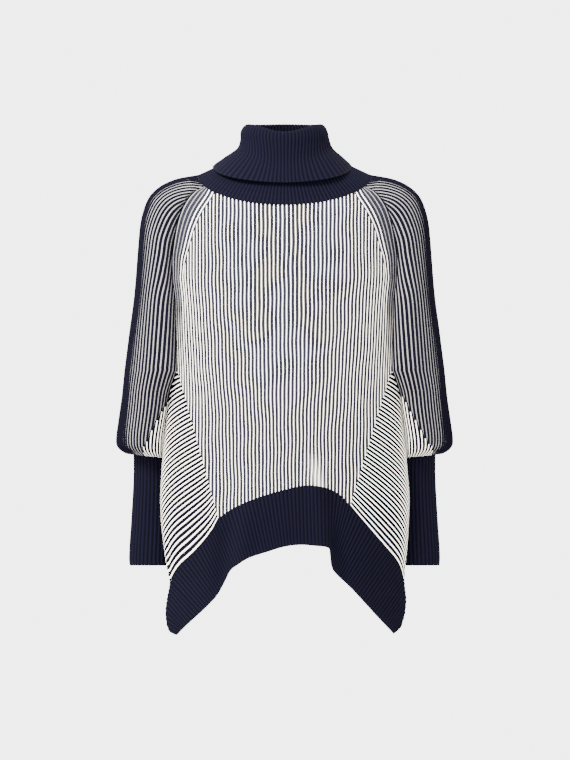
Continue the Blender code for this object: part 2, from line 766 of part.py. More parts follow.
def half_section(out, seam, bulge, facing):
    """From the outer edge of the arm round its front or back to where it meets the body."""
    reach = abs(seam.y - out.y) * 0.75 + bulge * 0.3
    points = (
        out,
        out + Vector((0.0, facing * reach, 0.0)),
        seam + Vector((-0.5 * bulge, facing * bulge, 0.0)),
        seam,
    )
    return Arc([bezier(points, k / 24.0) for k in range(25)])


def raglan_point(z, facing):
    """Where the right sleeve meets its raglan seam."""
    x = -raglan_x(z, facing)
    return body_point(x, z, facing) + Vector((-SLEEVE_BODY_GAP, 0.0, 0.0))


def upper_section(row):
    """Front and back halves of the sleeve at a row of the sleeve table."""
    out_x, out_z, out_y, front_z, back_z, bulge = row
    out = Vector((-out_x, out_y, out_z))
    front = raglan_point(front_z, -1)
    back = raglan_point(back_z, 1)
    if row is SLEEVE_STATIONS[0]:
        corner = RAGLAN_TOP_X + SLEEVE_BODY_GAP
        steps = [corner + (NECK_HALF_WIDTH - corner) * math.sin(k * math.pi / 24.0)
                 for k in range(13)]
        halves = []
        for facing in (-1, 1):
            halves.append(Arc([neck_point(-x, facing) for x in reversed(steps)]))
        return halves
    return [half_section(out, front, bulge, -1), half_section(out, back, bulge, 1)]


def side_x(y, z):
    """Distance from the middle to the body's side at a depth, on the wearer's right."""
    seam = body_value("side_y", z)
    reach = body_value("front", z) + seam if y < seam else body_value("back", z) - seam
    lift = clamp(abs(y - seam) / reach) ** (body_value("round", z) / 2.0)
    return body_value("half_right", z) * math.sqrt(1.0 - min(1.0, lift * lift))


def tuck_point(y, z, limit):
    """A point of the sleeve's inner side, just clear of the body."""
    gap = SLEEVE_BODY_GAP + min(SLEEVE_BODY_SPREAD * (UNDERARM_Z - z), SLEEVE_BODY_ROOM)
    return Vector((-max(side_x(y, z) + gap, limit + SLEEVE_BODY_GAP), y, z))


def cuff_point(angle, z, height=0.0):
    """A point of the right cuff; 0 is the front, positive goes round by the outer edge."""
    def value(name):
        return read_table(CUFF_STATIONS, z, CUFF_COLUMNS.index(name))

    across, deep = math.sin(angle), math.cos(angle)
    width, depth = value("half_width") + height, value("half_depth") + height
    return Vector((-value("centre_x") - width * across, value("centre_y") - depth * deep, z))


def tube_section(row):
    """Front half, inner side and back half of the sleeve below the underarm."""
    z, out_x, out_y, front_y, back_y, limit, bulge, _ = row
    out = Vector((-out_x, out_y, z))
    front = tuck_point(front_y, z, limit)
    back = tuck_point(back_y, z, limit)
    steps = [front_y + (back_y - front_y) * k / 16.0 for k in range(17)]
    side = Arc([tuck_point(y, z, limit) for y in steps])
    return [half_section(out, front, bulge, -1), half_section(out, back, bulge, 1), side]


def gathered(point, row):
    """Draw a point of the tube in towards the cuff."""
    gather = row[-1]
    if gather == 0.0:
        return point
    middle = Vector((-0.5 * (row[1] + row[5]), row[2] - 3.0, point.z))
    way = point - middle
    ring = cuff_point(math.atan2(-way.x, -way.y), CUFF_TOP_Z, 0.2)
    ring.z = point.z
    return point.lerp(ring, gather)


def sleeve_sections():
    """All sections from the cuff up, as (front half, back half, inner side, table row)."""
    sections = [(*tube_section(row), row) for row in reversed(TUBE_STATIONS)]
    sections += [(*upper_section(row), None, row) for row in reversed(SLEEVE_STATIONS[:-1])]
    return sections


UNDERARM = len(TUBE_STATIONS) - 1     # index of the section at the underarm
FRONT, BACK, SIDE = 0, 1, 2           # the parts of a section; the side lies against the body


def edge_reach(sections, index, half, inset):
    """How far round a half section the sleeve goes before it stops short of its seam."""
    return max(0.0, sections[index][half].length - inset)


def section_point(sections, index, part, distance):
    """A point of one part of a section; in the tube the distance shrinks with the section."""
    arc, row = sections[index][part], sections[index][3]
    if index > UNDERARM:
        return arc.at(distance)
    return gathered(arc.at(distance * arc.length / sections[UNDERARM][part].length), row)


def cloth_place(sections, index, part, distance, share=0.0):
    """A point, the way the cloth faces there, and the share of a rib's height that it has."""
    last = UNDERARM if part == SIDE else len(sections) - 1
    here = section_point(sections, index, part, distance)
    around = section_point(sections, index, part, distance + 1.5)
    around -= section_point(sections, index, part, distance - 1.5)
    up = section_point(sections, min(index + 1, last), part, distance)
    up -= section_point(sections, max(index - 1, 0), part, distance)
    way = up.cross(around) if part == BACK else around.cross(up)
    return here, way.normalized(), share


def seam_stations(sections, half, index, low, high, inset):
    """Places on the raglan seam, from a section up, while the sleeve's reach is in a range."""
    places = []
    for further in range(index, len(sections)):
        reach = edge_reach(sections, further, half, inset)
        if not low < reach < high:
            break
        places.append(cloth_place(sections, further, half, reach))
    return places


def rib_line(sections, half, distance, step, inset):
    """A line of the sleeve from the cuff up to the neckline or the raglan seam, and the places
    on the seam between it and the next line to reach the seam."""
    places = [cloth_place(sections, k, half, distance, 1.0) for k in range(UNDERARM + 1)]
    for index in range(UNDERARM, len(sections) - 1):
        here = edge_reach(sections, index, half, inset)
        above = edge_reach(sections, index + 1, half, inset)
        if above <= distance:
            part = clamp((here - distance) / max(here - above, 1e-6), 0.02, 1.0)
            low = cloth_place(sections, index, half, here)
            high = cloth_place(sections, index + 1, half, above)
            places.append((low[0].lerp(high[0], part), low[1].lerp(high[1], part), 0.0))
            on_seam = seam_stations(sections, half, index + 1, distance - step, 1e9, inset)
            return places, on_seam
        share = clamp((above - distance) / TAPER) if index + 2 < len(sections) else 0.0
        places.append(cloth_place(sections, index + 1, half, distance, share))
    return places, []


def seam_line(sections, half, distance, inset):
    """The edge of the sleeve up to the underarm, and the places on the seam from there up to
    where the outermost rib meets it."""
    limit = edge_reach(sections, UNDERARM, half, inset)
    places = [cloth_place(sections, index, half, limit) for index in range(UNDERARM + 1)]
    return places, seam_stations(sections, half, UNDERARM + 1, distance, limit, inset)


def sleeve_lines(sections, step, inset):
    """Lines all round the sleeve, from the back of the inner side round by the front, each as
    its part of the section, its rib height, its places and the places on the seam after it."""
    lines = []
    side_length = sections[UNDERARM][SIDE].length
    for k in range(SLEEVE_SIDE_LINES, 0, -1):
        distance = side_length * k / (SLEEVE_SIDE_LINES + 1.0)
        places = [cloth_place(sections, index, SIDE, distance) for index in range(UNDERARM + 1)]
        lines.append((SIDE, 0.0, places, []))
    for half in (FRONT, BACK):
        limit = edge_reach(sections, UNDERARM, half, inset)
        count = int((limit - 2.0) / step)
        ribs = []
        for k in range(count + 1):
            height = raised(k * step / SLEEVE_RIB_PITCH)
            ribs.append((half, height, *rib_line(sections, half, k * step, step, inset)))
        ribs.append((half, 0.0, *seam_line(sections, half, count * step, inset)))
        lines += reversed(ribs) if half == FRONT else ribs[1:]
    return lines


def sleeve_sheet(wall, sections, step, inset):
    """One sheet of the sleeve; returns its rings of points at the cuff and at the body."""
    lines = []
    for part, height, places, on_seam in sleeve_lines(sections, step, inset):
        points = []
        for index, (point, way, share) in enumerate(places + on_seam):
            lift = -WALL if inset else height * share * (index > 0)
            points.append(point + way * lift)
            if inset:
                points[-1].z = max(points[-1].z, CUFF_TOP_Z + INNER_SET_BACK)
        line = wall.line(points)
        lines.append((part, line[:len(places)], line[len(places):]))
    ring = []
    for (part, one, on_seam), (next_part, other, next_on_seam) in zip(lines, lines[1:] + lines[:1]):
        wall.join(
            one + on_seam if part == FRONT else one,
            other + next_on_seam if next_part == BACK else other,
        )
        ring += one[-1:] + on_seam if part == FRONT else on_seam[::-1] + one[-1:]
    return [line[0] for _, line, _ in lines], ring


def make_sleeve(name, side):
    sections = sleeve_sections()
    wall = Wall()
    outer = sleeve_sheet(wall, sections, SLEEVE_RIB_PITCH / 2.0, 0.0)
    inner = sleeve_sheet(wall, sections, SLEEVE_RIB_PITCH * 2.0, FOLD_BEVEL)
    for outer_ring, inner_ring in zip(outer, inner):
        wall.join(outer_ring + outer_ring[:1], inner_ring + inner_ring[:1])
    wall.mirror(side)
    return wall.build(name, GREY_BEIGE)


# ---------------------------------------------------------------- cuffs
CUFF_LEVELS = (-417.3, -421.5, -500.0, -580.0, -583.0)


def make_cuff(name, side):
    wall = Wall()
    outer, inner = [], []
    for step in range(2 * CUFF_RIBS):
        angle = math.pi * step / CUFF_RIBS
        lift = [0.0] + [raised(step / 2.0)] * (len(CUFF_LEVELS) - 2) + [0.0]
        outer.append(wall.line(
            [cuff_point(angle, z, height) for z, height in zip(CUFF_LEVELS, lift)]
        ))
        if step % 2 == 0:
            inner.append(wall.line(
                [cuff_point(angle, z, -WALL) for z in CUFF_LEVELS[::2]]
            ))
    wall.join_all(outer, closed=True)
    wall.join_all(inner, closed=True)
    wall.close_tube(outer, inner)
    wall.mirror(side)
    return wall.build(name, NAVY)


# ---------------------------------------------------------------- collar
# The collar is one folded tube.  Each row is a ring of the cloth's middle, from the neckline
# seam up the inside layer, over the fold and down the outer layer to its free edge: half
# width on the wearer's right and left, reach in front and behind, height at the sides, in
# front and behind, how steeply the height changes round the ring (1 is the steepest at the
# sides) and how far the ring's four corners stand out.
COLLAR_COLUMNS = (
    "right", "left", "front", "back", "side_z", "front_z", "back_z", "drop", "corner",
)
COLLAR_STATIONS = (
    (98.0, 98.0, 78.5, 68.0, 16.0, -12.0, 25.0, 1.5, 0.0),
    (80.0, 80.0, 69.0, 60.5, 27.0, 5.0, 36.0, 1.8, 0.0),
    (65.0, 65.0, 62.0, 56.0, 41.0, 22.0, 47.0, 2.0, 0.0),
    (58.5, 58.5, 56.5, 52.5, 67.0, 57.5, 70.5, 3.0, 0.0),
    (57.5, 57.5, 57.0, 52.8, 76.0, 65.5, 78.0, 4.0, 0.0),
    (61.5, 60.5, 60.5, 56.0, 74.5, 64.5, 77.5, 4.0, 0.0),
    (64.5, 63.5, 63.0, 58.5, 66.5, 56.5, 70.0, 3.0, 0.0),
    (65.0, 66.0, 64.5, 59.5, 55.0, 42.0, 59.0, 2.0, 0.0),
    (70.0, 71.5, 68.0, 62.0, 42.0, 23.0, 48.0, 2.0, 0.0),
    (88.0, 86.0, 76.5, 67.5, 29.0, 6.0, 37.5, 1.5, 0.03),
    (107.0, 100.5, 85.0, 74.5, 15.5, -8.5, 26.5, 1.15, 0.045),
)
COLLAR_WALL = 1.9
COLLAR_SIDES = 32


def collar_point(row, angle):
    """A point of a collar ring; 0 is the front middle, positive goes by the wearer's left."""
    right, left, front, back, side_z, front_z, back_z, drop, corner = row
    across, ahead = math.sin(angle), math.cos(angle)
    width = left if across > 0.0 else right
    reach, end_z = (front, front_z) if ahead > 0.0 else (back, back_z)
    wide = 1.0 + corner * (2.0 * across * ahead) ** 2
    z = side_z + (end_z - side_z) * abs(ahead) ** drop
    return Vector((width * across * wide, -reach * ahead * wide, z))


def make_collar(name):
    """The neckband and the turned-down collar as one wall, swept round the neck."""
    wall = Wall()
    outer, inner = [], []
    for side in range(COLLAR_SIDES):
        angle = 2.0 * math.pi * side / COLLAR_SIDES
        seam = neck_ring(angle)
        ring = [seam] + [collar_point(row, angle) for row in COLLAR_STATIONS]
        start = ring[0].lerp(ring[1], 0.3 / (ring[1] - ring[0]).length)
        ring[0] = start
        around = Vector((math.cos(angle), math.sin(angle), 0.0))
        above, below = [], []
        for index, point in enumerate(ring):
            ahead = ring[min(index + 1, len(ring) - 1)] - ring[max(index - 1, 0)]
            normal = ahead.cross(around).normalized()
            if index == 0:
                above.append(point + normal * COLLAR_WALL + ahead.normalized() * EDGE_BEVEL)
                below.append(point)
            else:
                above.append(point + normal * COLLAR_WALL / 2.0)
                below.append(point - normal * COLLAR_WALL / 2.0)
        outer.append(wall.line(above))
        inner.append(wall.line(below))
    wall.join_all(outer, closed=True)
    wall.join_all(inner, closed=True)
    wall.close_tube(outer, inner)
    return wall.build(name, NAVY)


# ---------------------------------------------------------------- start of the model
def clear_scene():
    for old in list(bpy.data.objects):
        bpy.data.objects.remove(old, do_unlink=True)


def main():
    clear_scene()
    make_panel("front", -1)
    make_panel("back", 1)
    for facing, panel in ((-1, "front"), (1, "back")):
        for side, hand in ((-1, "right"), (1, "left")):
            make_gore(f"{panel}_gore_{hand}", side, facing)
        make_hem(f"hem_{panel}", facing)
    for side, hand in ((-1, "right"), (1, "left")):
        make_sleeve(f"sleeve_{hand}", side)
        make_cuff(f"cuff_{hand}", side)
    make_collar("collar")


main()
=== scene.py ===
"""Looks of the ribbed turtleneck sweater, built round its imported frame.

Each piece of cloth is a thin knitted shell on the form of its solid, with its ribs raised
line by line.  Lengths are in millimetres until the meshes are written, in metres.  +Z is up,
the front looks along -Y, and the origin is at the base of the neck.
"""

import bisect
import json
import math

import bpy
import numpy as np
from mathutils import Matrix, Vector

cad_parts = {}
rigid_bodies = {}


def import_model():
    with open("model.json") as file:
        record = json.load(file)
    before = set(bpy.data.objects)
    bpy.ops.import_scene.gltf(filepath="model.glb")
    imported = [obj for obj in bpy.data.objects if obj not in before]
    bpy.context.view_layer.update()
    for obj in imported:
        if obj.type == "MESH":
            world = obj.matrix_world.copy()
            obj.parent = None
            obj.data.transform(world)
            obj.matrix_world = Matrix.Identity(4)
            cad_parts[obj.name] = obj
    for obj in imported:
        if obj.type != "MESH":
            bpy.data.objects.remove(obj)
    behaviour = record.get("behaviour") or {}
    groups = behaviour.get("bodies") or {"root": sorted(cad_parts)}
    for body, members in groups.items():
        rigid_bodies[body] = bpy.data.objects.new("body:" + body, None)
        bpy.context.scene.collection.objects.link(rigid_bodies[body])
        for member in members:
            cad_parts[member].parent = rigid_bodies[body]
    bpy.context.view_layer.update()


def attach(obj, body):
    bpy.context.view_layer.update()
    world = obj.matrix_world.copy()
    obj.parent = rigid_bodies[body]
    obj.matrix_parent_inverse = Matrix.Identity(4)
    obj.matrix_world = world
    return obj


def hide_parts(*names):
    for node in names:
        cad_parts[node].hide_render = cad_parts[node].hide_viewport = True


# ---------------------------------------------------------------- driving sizes, millimetres
METRE = 0.001
WALL = 2.2            # cloth without its ribs
TALL_RIB = 1.7        # height of the two-colour ribs
BAND_RIB = 0.8        # height of the plain ribs of the bands, cuffs and collar

UNDERARM_Z = -290.0   # where each sleeve parts from the body
RIBS_HALF = 32        # front ribs from the middle to a raglan seam
RIBS_UPRIGHT = 27     # of these, the ones that stand upright; the rest follow the raglan
FASHION_Z = -150.0    # below this the upright ribs and the raglan ribs run side by side

NECK_HALF_WIDTH = 128.5
NECK_SIDE_Z = 1.5
NECK_FRONT_DROP = 45.0
NECK_BACK_RISE = 6.0
RAGLAN_TOP_X = 120.0  # where a raglan seam meets the neckline, front and back

# Body outline against height: half width on the wearer's right (-X) and left (+X), how far
# the front and back stand out, where the side seam lies, and how round the sides are
# (2 is an ellipse, 1 comes to a point at the side).
BODY_COLUMNS = ("z", "half_right", "half_left", "front", "back", "side_y", "round")
BODY_STATIONS = (
    (8.0, 129.0, 129.0, 30.0, 86.0, 0.0, 2.0),
    (-10.0, 150.0, 150.0, 50.0, 91.0, 0.0, 2.0),
    (-25.0, 165.0, 165.0, 73.0, 94.0, 0.0, 2.0),
    (-43.5, 173.0, 173.0, 92.0, 97.0, 0.0, 2.0),
    (-70.0, 178.0, 178.0, 99.0, 99.0, 0.0, 2.0),
    (-110.0, 182.0, 182.0, 103.0, 101.0, 0.0, 2.0),
    (-170.0, 181.0, 181.0, 106.0, 103.0, 0.0, 2.0),
    (-230.0, 177.0, 177.0, 108.0, 104.0, -1.0, 2.0),
    (-290.0, 174.0, 174.0, 110.0, 105.0, -4.0, 1.95),
    (-335.0, 175.0, 175.0, 111.0, 106.0, -12.0, 1.6),
    (-395.0, 180.0, 180.0, 112.0, 107.0, -20.0, 1.2),
    (-440.0, 184.0, 184.0, 112.0, 106.0, -20.0, 1.0),
    (-485.0, 186.0, 187.0, 111.0, 105.0, -18.0, 1.0),
    (-515.0, 185.0, 186.0, 110.0, 103.0, -15.0, 1.0),
    (-552.0, 181.0, 184.0, 108.0, 101.0, -12.0, 1.0),
    (-582.0, 177.0, 181.0, 107.0, 100.0, -8.0, 1.0),
    (-606.0, 172.0, 180.0, 106.0, 100.0, -6.0, 1.0),
    (-634.0, 176.5, 182.5, 105.0, 99.0, -5.0, 1.0),
    (-652.0, 178.5, 181.0, 104.0, 98.0, -4.0, 1.0),
    (-670.0, 177.0, 176.5, 103.0, 97.0, -3.0, 1.0),
    (-690.0, 168.0, 169.0, 102.0, 96.0, -2.0, 1.0),
)

# Raglan seam on the front: height and distance from the middle.
RAGLAN = (
    (-14.6, 120.0), (-20.0, 132.0), (-30.0, 143.0), (-48.0, 154.0), (-70.0, 161.0),
    (-95.0, 165.5), (-121.0, 168.5), (-150.0, 167.5), (-184.0, 163.5), (-244.0, 161.5),
    (-290.0, 160.0),
)

# Line of decreases where the upright ribs run into the raglan ribs, in the same columns.
FASHION_LINE = (
    (-25.5, 104.0), (-38.0, 112.0), (-48.0, 119.0), (-58.5, 125.0), (-69.0, 130.0),
    (-81.0, 135.0), (-94.5, 139.0), (-109.5, 143.0), (-123.0, 147.0), (-150.0, 150.5),
)

# How the ribs spread: height, reach of the outermost rib, and crowding (1 is even, more
# crowds the outer ribs together).
SPREAD = (
    (-150.0, 168.0, 1.214), (-200.0, 163.0, 1.229), (-290.0, 160.0, 1.19),
    (-330.0, 161.5, 1.13), (-380.0, 166.0, 1.06), (-440.0, 171.5, 1.0), (-700.0, 170.0, 1.0),
)

# Seam between the front or back and a side gore, on the wearer's right and left: top_x,
# top_z at the underarm, foot_x, foot_z at the hem band.
GORE_SEAMS = {-1: (160.0, -290.0, 98.0, -511.0), 1: (160.0, -290.0, 97.5, -492.0)}

# Hem band: its upper and its lower edge, station by station from the point on the wearer's
# right to the point on the left.  Each row is one rib line.
HEM_COLUMNS = ("top_x", "top_z", "low_x", "low_z")
HEM_STATIONS = (
    (-169.0, -683.0, -162.5, -687.0),
    (-176.0, -663.0, -155.0, -679.0),
    (-175.0, -634.0, -146.0, -670.0),
    (-169.5, -606.0, -127.0, -652.5),
    (-157.0, -585.0, -113.0, -639.0),
    (-139.0, -568.5, -101.0, -625.5),
    (-120.0, -547.5, -91.0, -607.5),
    (-107.0, -529.5, -82.0, -589.5),
    (-98.0, -511.5, -71.0, -580.5),
    (-74.0, -495.0, -53.0, -570.0),
    (-43.5, -481.5, -26.0, -561.0),
    (-11.0, -471.0, -1.0, -553.5),
    (20.0, -463.5, 23.0, -550.5),
    (41.0, -462.0, 44.0, -552.0),
    (66.0, -467.0, 66.0, -555.0),
    (85.0, -478.0, 69.5, -567.0),
    (98.0, -493.5, 71.0, -580.5),
    (110.0, -508.5, 75.0, -590.0),
    (124.0, -525.0, 84.0, -600.0),
    (148.0, -553.5, 103.5, -619.0),
    (167.0, -576.0, 123.0, -640.0),
    (175.0, -592.0, 133.0, -651.0),
    (178.5, -606.0, 141.0, -660.0),
    (182.0, -625.0, 151.0, -670.5),
    (178.5, -652.0, 160.0, -680.0),
    (172.0, -676.0, 164.5, -685.0),
)

HEM_LAST = len(HEM_STATIONS) - 1.0
HEM_SIDE_ROWS = 3.0   # stations next to each point whose upper end lies on the side seam

# Soft folds that run down the cloth: x_top, z_top, x_low, z_low, width, and depth, which is
# how far a fold stands out (in, where negative).
FRONT_FOLDS = (
    (44.0, -400.0, 62.0, -575.0, 15.0, 8.0),
    (58.0, -430.0, 84.0, -590.0, 14.0, -7.0),
    (-84.0, -500.0, -92.0, -610.0, 16.0, -7.0),
    (-58.0, -470.0, -66.0, -590.0, 18.0, 5.0),
    (-20.0, -250.0, -34.0, -480.0, 40.0, 3.0),
    (118.0, -180.0, 96.0, -330.0, 26.0, 3.0),
    (-120.0, -170.0, -104.0, -320.0, 24.0, 3.0),
)
BACK_FOLDS = (
    (-40.0, -410.0, -56.0, -580.0, 18.0, 7.0),
    (-64.0, -430.0, -82.0, -590.0, 16.0, -6.0),
    (70.0, -470.0, 84.0, -600.0, 18.0, -6.0),
    (20.0, -60.0, 30.0, -300.0, 34.0, 3.0),
    (110.0, -200.0, 92.0, -350.0, 26.0, 3.0),
    (-116.0, -170.0, -100.0, -330.0, 28.0, 3.0),
)


# ---------------------------------------------------------------- small numeric helpers
def clamp(value, low=0.0, high=1.0):
    return max(low, min(high, value))


def smooth(value):
    value = clamp(value)
    return value * value * (3.0 - 2.0 * value)


def read_table(table, key, column):
    """Value of a column at a key, along a smooth monotone curve; the keys fall from row to row."""
    if key >= table[0][0]:
        return table[0][column]
    if key <= table[-1][0]:
        return table[-1][column]
    row = bisect.bisect_left([-entry[0] for entry in table], -key) - 1
    row = clamp(row, 0, len(table) - 2)

    def slope(index):
        above, below = table[index], table[index + 1]
        return (below[column] - above[column]) / (below[0] - above[0])

    here = slope(row)
    before = slope(row - 1) if row > 0 else here
    after = slope(row + 1) if row < len(table) - 2 else here
    start = 0.0 if before * here <= 0.0 else 2.0 * before * here / (before + here)
    end = 0.0 if after * here <= 0.0 else 2.0 * after * here / (after + here)
    span = table[row + 1][0] - table[row][0]
    part = (key - table[row][0]) / span
    square, cube = part * part, part ** 3
    return (
        (2 * cube - 3 * square + 1) * table[row][column]
        + (cube - 2 * square + part) * span * start
        + (3 * square - 2 * cube) * table[row + 1][column]
        + (cube - square) * span * end
    )


def body_value(name, z):
    return read_table(BODY_STATIONS, z, BODY_COLUMNS.index(name))


def half_width(x, z):
    """Half width of the body on the side that x lies on."""
    return body_value("half_left" if x > 0.0 else "half_right", z)


def fold_offset(folds, x, z):
    """How far the folds push the cloth out at one place."""
    total = 0.0
    for x_top, z_top, x_low, z_low, width, depth in folds:
        along = (z - z_top) / (z_low - z_top)
        centre = x_top + (x_low - x_top) * along
        across = (x - centre) / width
        fade = smooth(along * 2.5) * smooth((1.6 - along) * 2.0)
        total += depth * fade * math.exp(-across * across)
    return total


# ---------------------------------------------------------------- surfaces of the body
def body_section(angle, z):
    """A point of the body's outline at one height; 0 is the front middle, pi the back middle.

    A positive angle goes round by the wearer's left (+X), a negative one by the right.
    """
    side = body_value("side_y", z)
    power = 2.0 / body_value("round", z)
    x = half_width(angle, z) * math.sin(angle)
    lift = abs(math.cos(angle)) ** power
    if abs(angle) <= math.pi / 2:
        y = side - (body_value("front", z) + side) * lift
    else:
        y = side + (body_value("back", z) - side) * lift
    return x, y


def body_point(x, z, facing):
    """A point of the front (facing -1) or the back (facing +1) of the body."""
    share = clamp(abs(x) / half_width(x, z))
    angle = math.copysign(math.asin(share), x)
    if facing > 0:
        angle = math.copysign(math.pi - abs(angle), x)
    y = body_section(angle, z)[1]
    flat = smooth((1.0 - share) * 4.0)
    folds = FRONT_FOLDS if facing < 0 else BACK_FOLDS
    return Vector((x, y + facing * flat * fold_offset(folds, x, z), z))


def outward(x, z, facing, step=1.5):
    """The direction that the body's surface faces."""
    inner = min(abs(x) + step, half_width(x, z) * 0.995)
    x_high = inner if x > 0.0 else x + step
    x_low = x - step if x > 0.0 else -inner
    across = body_point(x_high, z, facing) - body_point(x_low, z, facing)
    down = body_point(x, z + step, facing) - body_point(x, z - step, facing)
    normal = across.cross(down)
    if normal.y * facing < 0.0:
        normal.negate()
    return normal.normalized()


def neck_height(x, facing):
    share = math.sqrt(max(0.0, 1.0 - (x / NECK_HALF_WIDTH) ** 2))
    if facing < 0:
        return NECK_SIDE_Z - NECK_FRONT_DROP * share
    return NECK_SIDE_Z + NECK_BACK_RISE * share


def neck_point(x, facing):
    """A point of the neckline seam, on the body or, past the raglan seams, on a sleeve."""
    z = neck_height(x, facing)
    if abs(x) <= RAGLAN_TOP_X:
        return body_point(x, z, facing)
    edge = math.copysign(RAGLAN_TOP_X, x)
    depth = body_point(edge, neck_height(edge, facing), facing).y
    room = NECK_HALF_WIDTH ** 2 - RAGLAN_TOP_X ** 2
    share = math.sqrt(max(0.0, NECK_HALF_WIDTH ** 2 - x * x) / room)
    return Vector((x, depth * share, z))


def neck_ring(angle):
    """The neckline seam; 0 is the front middle, positive goes by the wearer's left."""
    facing = -1 if math.cos(angle) >= 0.0 else 1
    return neck_point(NECK_HALF_WIDTH * math.sin(angle), facing)


def raglan_shift(z, facing):
    """The back seams start higher at the neck than the front ones."""
    if facing < 0:
        return z
    rise = neck_height(RAGLAN_TOP_X, 1) - neck_height(RAGLAN_TOP_X, -1)
    return z - rise * smooth((z + 90.0) / 90.0)


def raglan_x(z, facing):
    return read_table(RAGLAN, raglan_shift(z, facing), 1)


def fashion_x(z, facing):
    return read_table(FASHION_LINE, raglan_shift(z, facing), 1)


def rib_x(rib, z, facing):
    """Where a rib line of the front or back lies at one height, ribs counted from the middle."""
    count = abs(rib)
    if z > FASHION_Z and count > RIBS_UPRIGHT:
        start = fashion_x(z, facing)
        share = (count - RIBS_UPRIGHT) / (RIBS_HALF - RIBS_UPRIGHT)
        return math.copysign(start + (raglan_x(z, facing) - start) * share, rib)
    level = min(z, FASHION_Z)
    reach = read_table(SPREAD, level, 1)
    crowding = read_table(SPREAD, level, 2)
    if count > RIBS_UPRIGHT and z > UNDERARM_Z:
        reach = raglan_x(z, facing)
    share = count / RIBS_HALF
    return math.copysign(reach * (crowding * share - (crowding - 1.0) * share ** 3), rib)


def gore_seam_x(z, side):
    top_x, top_z, foot_x, foot_z = GORE_SEAMS[side]
    return top_x + (foot_x - top_x) * (top_z - z) / (top_z - foot_z)


def table_row(table, place):
    """All columns of a table at a place counted in rows, along a smooth curve."""
    last = len(table) - 1
    place = clamp(place, 0.0, last)
    index = min(int(place), last - 1)
    part = place - index
    near = [table[int(clamp(index + k, 0, last))] for k in (-1, 0, 1, 2)]
    return tuple(
        0.5 * (2 * b + (c - a) * part + (2 * a - 5 * b + 4 * c - d) * part ** 2
               + (3 * b - a - 3 * c + d) * part ** 3)
        for a, b, c, d in zip(*near)
    )


def hem_value(column, place):
    return table_row(HEM_STATIONS, place)[HEM_COLUMNS.index(column)]


def hem_top_line(steps=400):
    """The hem band's upper edge between its two side corners, as (x, z) from right to left."""
    low, high = HEM_SIDE_ROWS, HEM_LAST - HEM_SIDE_ROWS
    places = [low + (high - low) * k / steps for k in range(steps + 1)]
    return [(hem_value("top_x", place), hem_value("top_z", place)) for place in places]


HEM_TOP_LINE = hem_top_line()


def hem_top_z(x):
    """Height of the hem band's upper edge at a distance from the middle."""
    index = clamp(bisect.bisect(HEM_TOP_LINE, (x, 0.0)), 1, len(HEM_TOP_LINE) - 1)
    (x_low, z_low), (x_high, z_high) = HEM_TOP_LINE[index - 1:index + 1]
    return z_low + (z_high - z_low) * clamp((x - x_low) / (x_high - x_low))


def add_object(name, data):
    made = bpy.data.objects.new(name, data)
    bpy.context.scene.collection.objects.link(made)
    return made


# ---------------------------------------------------------------- knitted sheets
RIB_PROFILE = (        # where the lines of points run across one rib, and their height
    (0.0, 0.0), (0.2, 0.05), (0.31, 0.5), (0.4, 0.88), (0.5, 1.0), (0.6, 0.88), (0.69, 0.5),
    (0.8, 0.05),
)
ROW = 7.0              # height between rows of points


class Sheet:
    """A sheet of cloth built from lines of points joined side by side.

    Every point has its rib count, its distance along the rib, the height it is raised by and
    a turn: on a sleeve how far it lies above the line where the knit changes its colours, on
    the front how strongly the painted highlight on a crease above the hem band pales it.
    """

    def __init__(self):
        self.points = []
        self.values = []
        self.faces = []

    def line(self, entries):
        """Add points given as (place, rib, along, height, turn); returns their numbers."""
        start = len(self.points)
        for place, rib, along, height, turn in entries:
            self.points.append(place)
            self.values.append((rib, along, height, turn))
        return list(range(start, len(self.points)))

    def join(self, one, other):
        """Fill the strip between two lines with triangles, always taking the shorter diagonal."""
        i, j = 0, 0
        while i < len(one) - 1 or j < len(other) - 1:
            step_one = i < len(one) - 1
            if step_one and j < len(other) - 1:
                across = self.points[one[i + 1]] - self.points[other[j]]
                back = self.points[one[i]] - self.points[other[j + 1]]
                step_one = across.length <= back.length
            if step_one:
                self.faces.append((one[i], other[j], one[i + 1]))
                i += 1
            else:
                self.faces.append((one[i], other[j], other[j + 1]))
                j += 1

    def join_all(self, lines):
        for one, other in zip(lines, lines[1:]):
            self.join(one, other)

    def turn_over(self):
        self.faces = [face[::-1] for face in self.faces]

    def mirror(self):
        """Move the sheet from the wearer's right to the left."""
        self.points = [Vector((-point.x, point.y, point.z)) for point in self.points]
        self.turn_over()

    def build(self, name, material, same_place=False):
        """Raise the points by their heights along the cloth's facing and write the mesh."""
        base = np.array([tuple(point) for point in self.points])
        faces = np.array(self.faces)
        values = np.array(self.values)
        corner = base[faces]
        way = np.cross(corner[:, 1] - corner[:, 0], corner[:, 2] - corner[:, 0])
        total = np.zeros_like(base)
        for k in range(3):
            np.add.at(total, faces[:, k], way)
        if same_place:
            keys = np.round(base * 50.0).astype(np.int64)
            _, group = np.unique(keys, axis=0, return_inverse=True)
            group = group.reshape(-1)
            merged = np.zeros((group.max() + 1, 3))
            np.add.at(merged, group, total)
            total = merged[group]
        length = np.linalg.norm(total, axis=1)
        length[length == 0.0] = 1.0
        raised = base + total / length[:, None] * values[:, 2:3]
        mesh = bpy.data.meshes.new(name)
        mesh.from_pydata((raised * METRE).tolist(), [], self.faces)
        for column, label in ((0, "rib"), (1, "along"), (3, "turn")):
            layer = mesh.attributes.new(label, "FLOAT", "POINT")
            layer.data.foreach_set("value", values[:, column].astype(np.float32))
        mesh.shade_smooth()
        mesh.materials.append(material)
        return add_object(name, mesh)


def declare(piece, node):
    """Attach the piece to the root body and hide the solid it stands for."""
    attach(piece, "root")
    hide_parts(node)
    return piece


